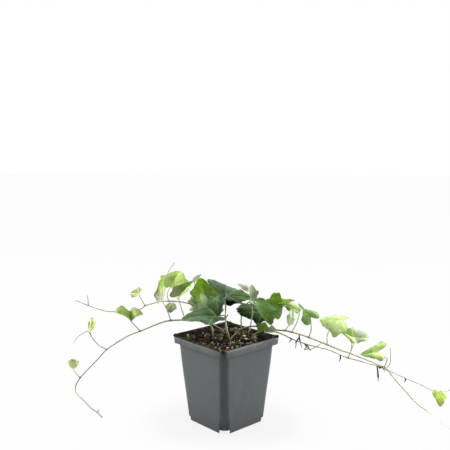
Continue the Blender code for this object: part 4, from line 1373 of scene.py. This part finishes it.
def build_stage():
    """A pale floor that fades to white, as the camera sees it, a little way from the pot."""
    bm = bmesh.new()
    bmesh.ops.create_grid(bm, x_segments=2, y_segments=2, size=FLOOR_HALF)
    floor = mesh_object("studio_floor", bm)
    made, tree, shader = new_finish("studio_floor", 1.0, 0.0)
    shader.inputs["Base Color"].default_value = (FLOOR_SHADE, FLOOR_SHADE, FLOOR_SHADE, 1.0)
    glow = tree.nodes.new("ShaderNodeEmission")
    glow.inputs["Color"].default_value = (1.0, 1.0, 1.0, 1.0)
    length = tree.nodes.new("ShaderNodeVectorMath")
    length.operation = "LENGTH"
    tree.links.new(source(tree, "ShaderNodeTexCoord", "Object"), length.inputs[0])
    far = ramp(tree, length.outputs["Value"], *FLOOR_FADE, *FLOOR_GLOW)
    share = times(tree, far, source(tree, "ShaderNodeLightPath", "Is Camera Ray"))
    mix_shaders(tree, share, shader.outputs[0], glow.outputs[0], "Material Output")
    floor.data.materials.append(made)


def add_light(name, place, size, power):
    """A soft light that faces the pot."""
    lamp = bpy.data.lights.new(name, "AREA")
    lamp.shape = "RECTANGLE"
    lamp.size, lamp.size_y = size
    lamp.energy = power
    holder = add_object(name, lamp)
    holder.location = place
    holder.rotation_euler = (Vector(LIGHT_AIM) - Vector(place)).to_track_quat("-Z", "Y").to_euler()


def build_light():
    """A white room that lights the object dimly, and soft lights from both sides and above."""
    world = bpy.data.worlds.new("studio")
    world.use_nodes = True
    tree = world.node_tree
    looks = tree.nodes["Background"]
    lights = tree.nodes.new("ShaderNodeBackground")
    for node, strength in ((looks, ROOM_LOOK), (lights, ROOM_LIGHT)):
        node.inputs["Color"].default_value = (1, 1, 1, 1)
        node.inputs["Strength"].default_value = strength
    camera_ray = source(tree, "ShaderNodeLightPath", "Is Camera Ray")
    mix_shaders(tree, camera_ray, lights.outputs[0], looks.outputs[0], "World Output")
    bpy.context.scene.world = world
    for light in LIGHTS:
        add_light(*light)


def build_camera():
    """The camera, as it stood for the photograph."""
    lens = bpy.data.cameras.new("camera")
    lens.lens = CAMERA_LENS
    lens.sensor_width = SENSOR_WIDTH
    lens.clip_start, lens.clip_end = CAMERA_RANGE
    holder = add_object("camera", lens)
    holder.location = Vector(CAMERA_PLACE) * MM
    holder.rotation_euler = (math.radians(90 - CAMERA_DOWN), 0.0, math.radians(CAMERA_LEFT))
    bpy.context.scene.camera = holder


def main():
    """Builds the camera, the stage, the pot with its soil, and every leafy stem."""
    bpy.context.scene.view_settings.view_transform = "Standard"
    build_camera()
    build_light()
    build_stage()
    veins = vein_group()
    finishes = {
        "bark": bark_finish(),
        "young_leaf": leaf_finish("young_leaf", veins, 0.45, 0.2),
        "mature_leaf": leaf_finish("mature_leaf", veins, 0.40, 0.14),
    }
    build_pot(plastic_finish())
    damp_soil = soil_finish()
    build_soil(damp_soil)
    build_spill(damp_soil)
    draw = random.Random(SCATTER_SEED)
    scatter_crumbs(draw, crumb_finish())
    scatter_fibres(draw, finishes["bark"])
    for number, (name, spec) in enumerate(STEMS.items()):
        build_leafy_stem(number, name, spec, finishes)


main()
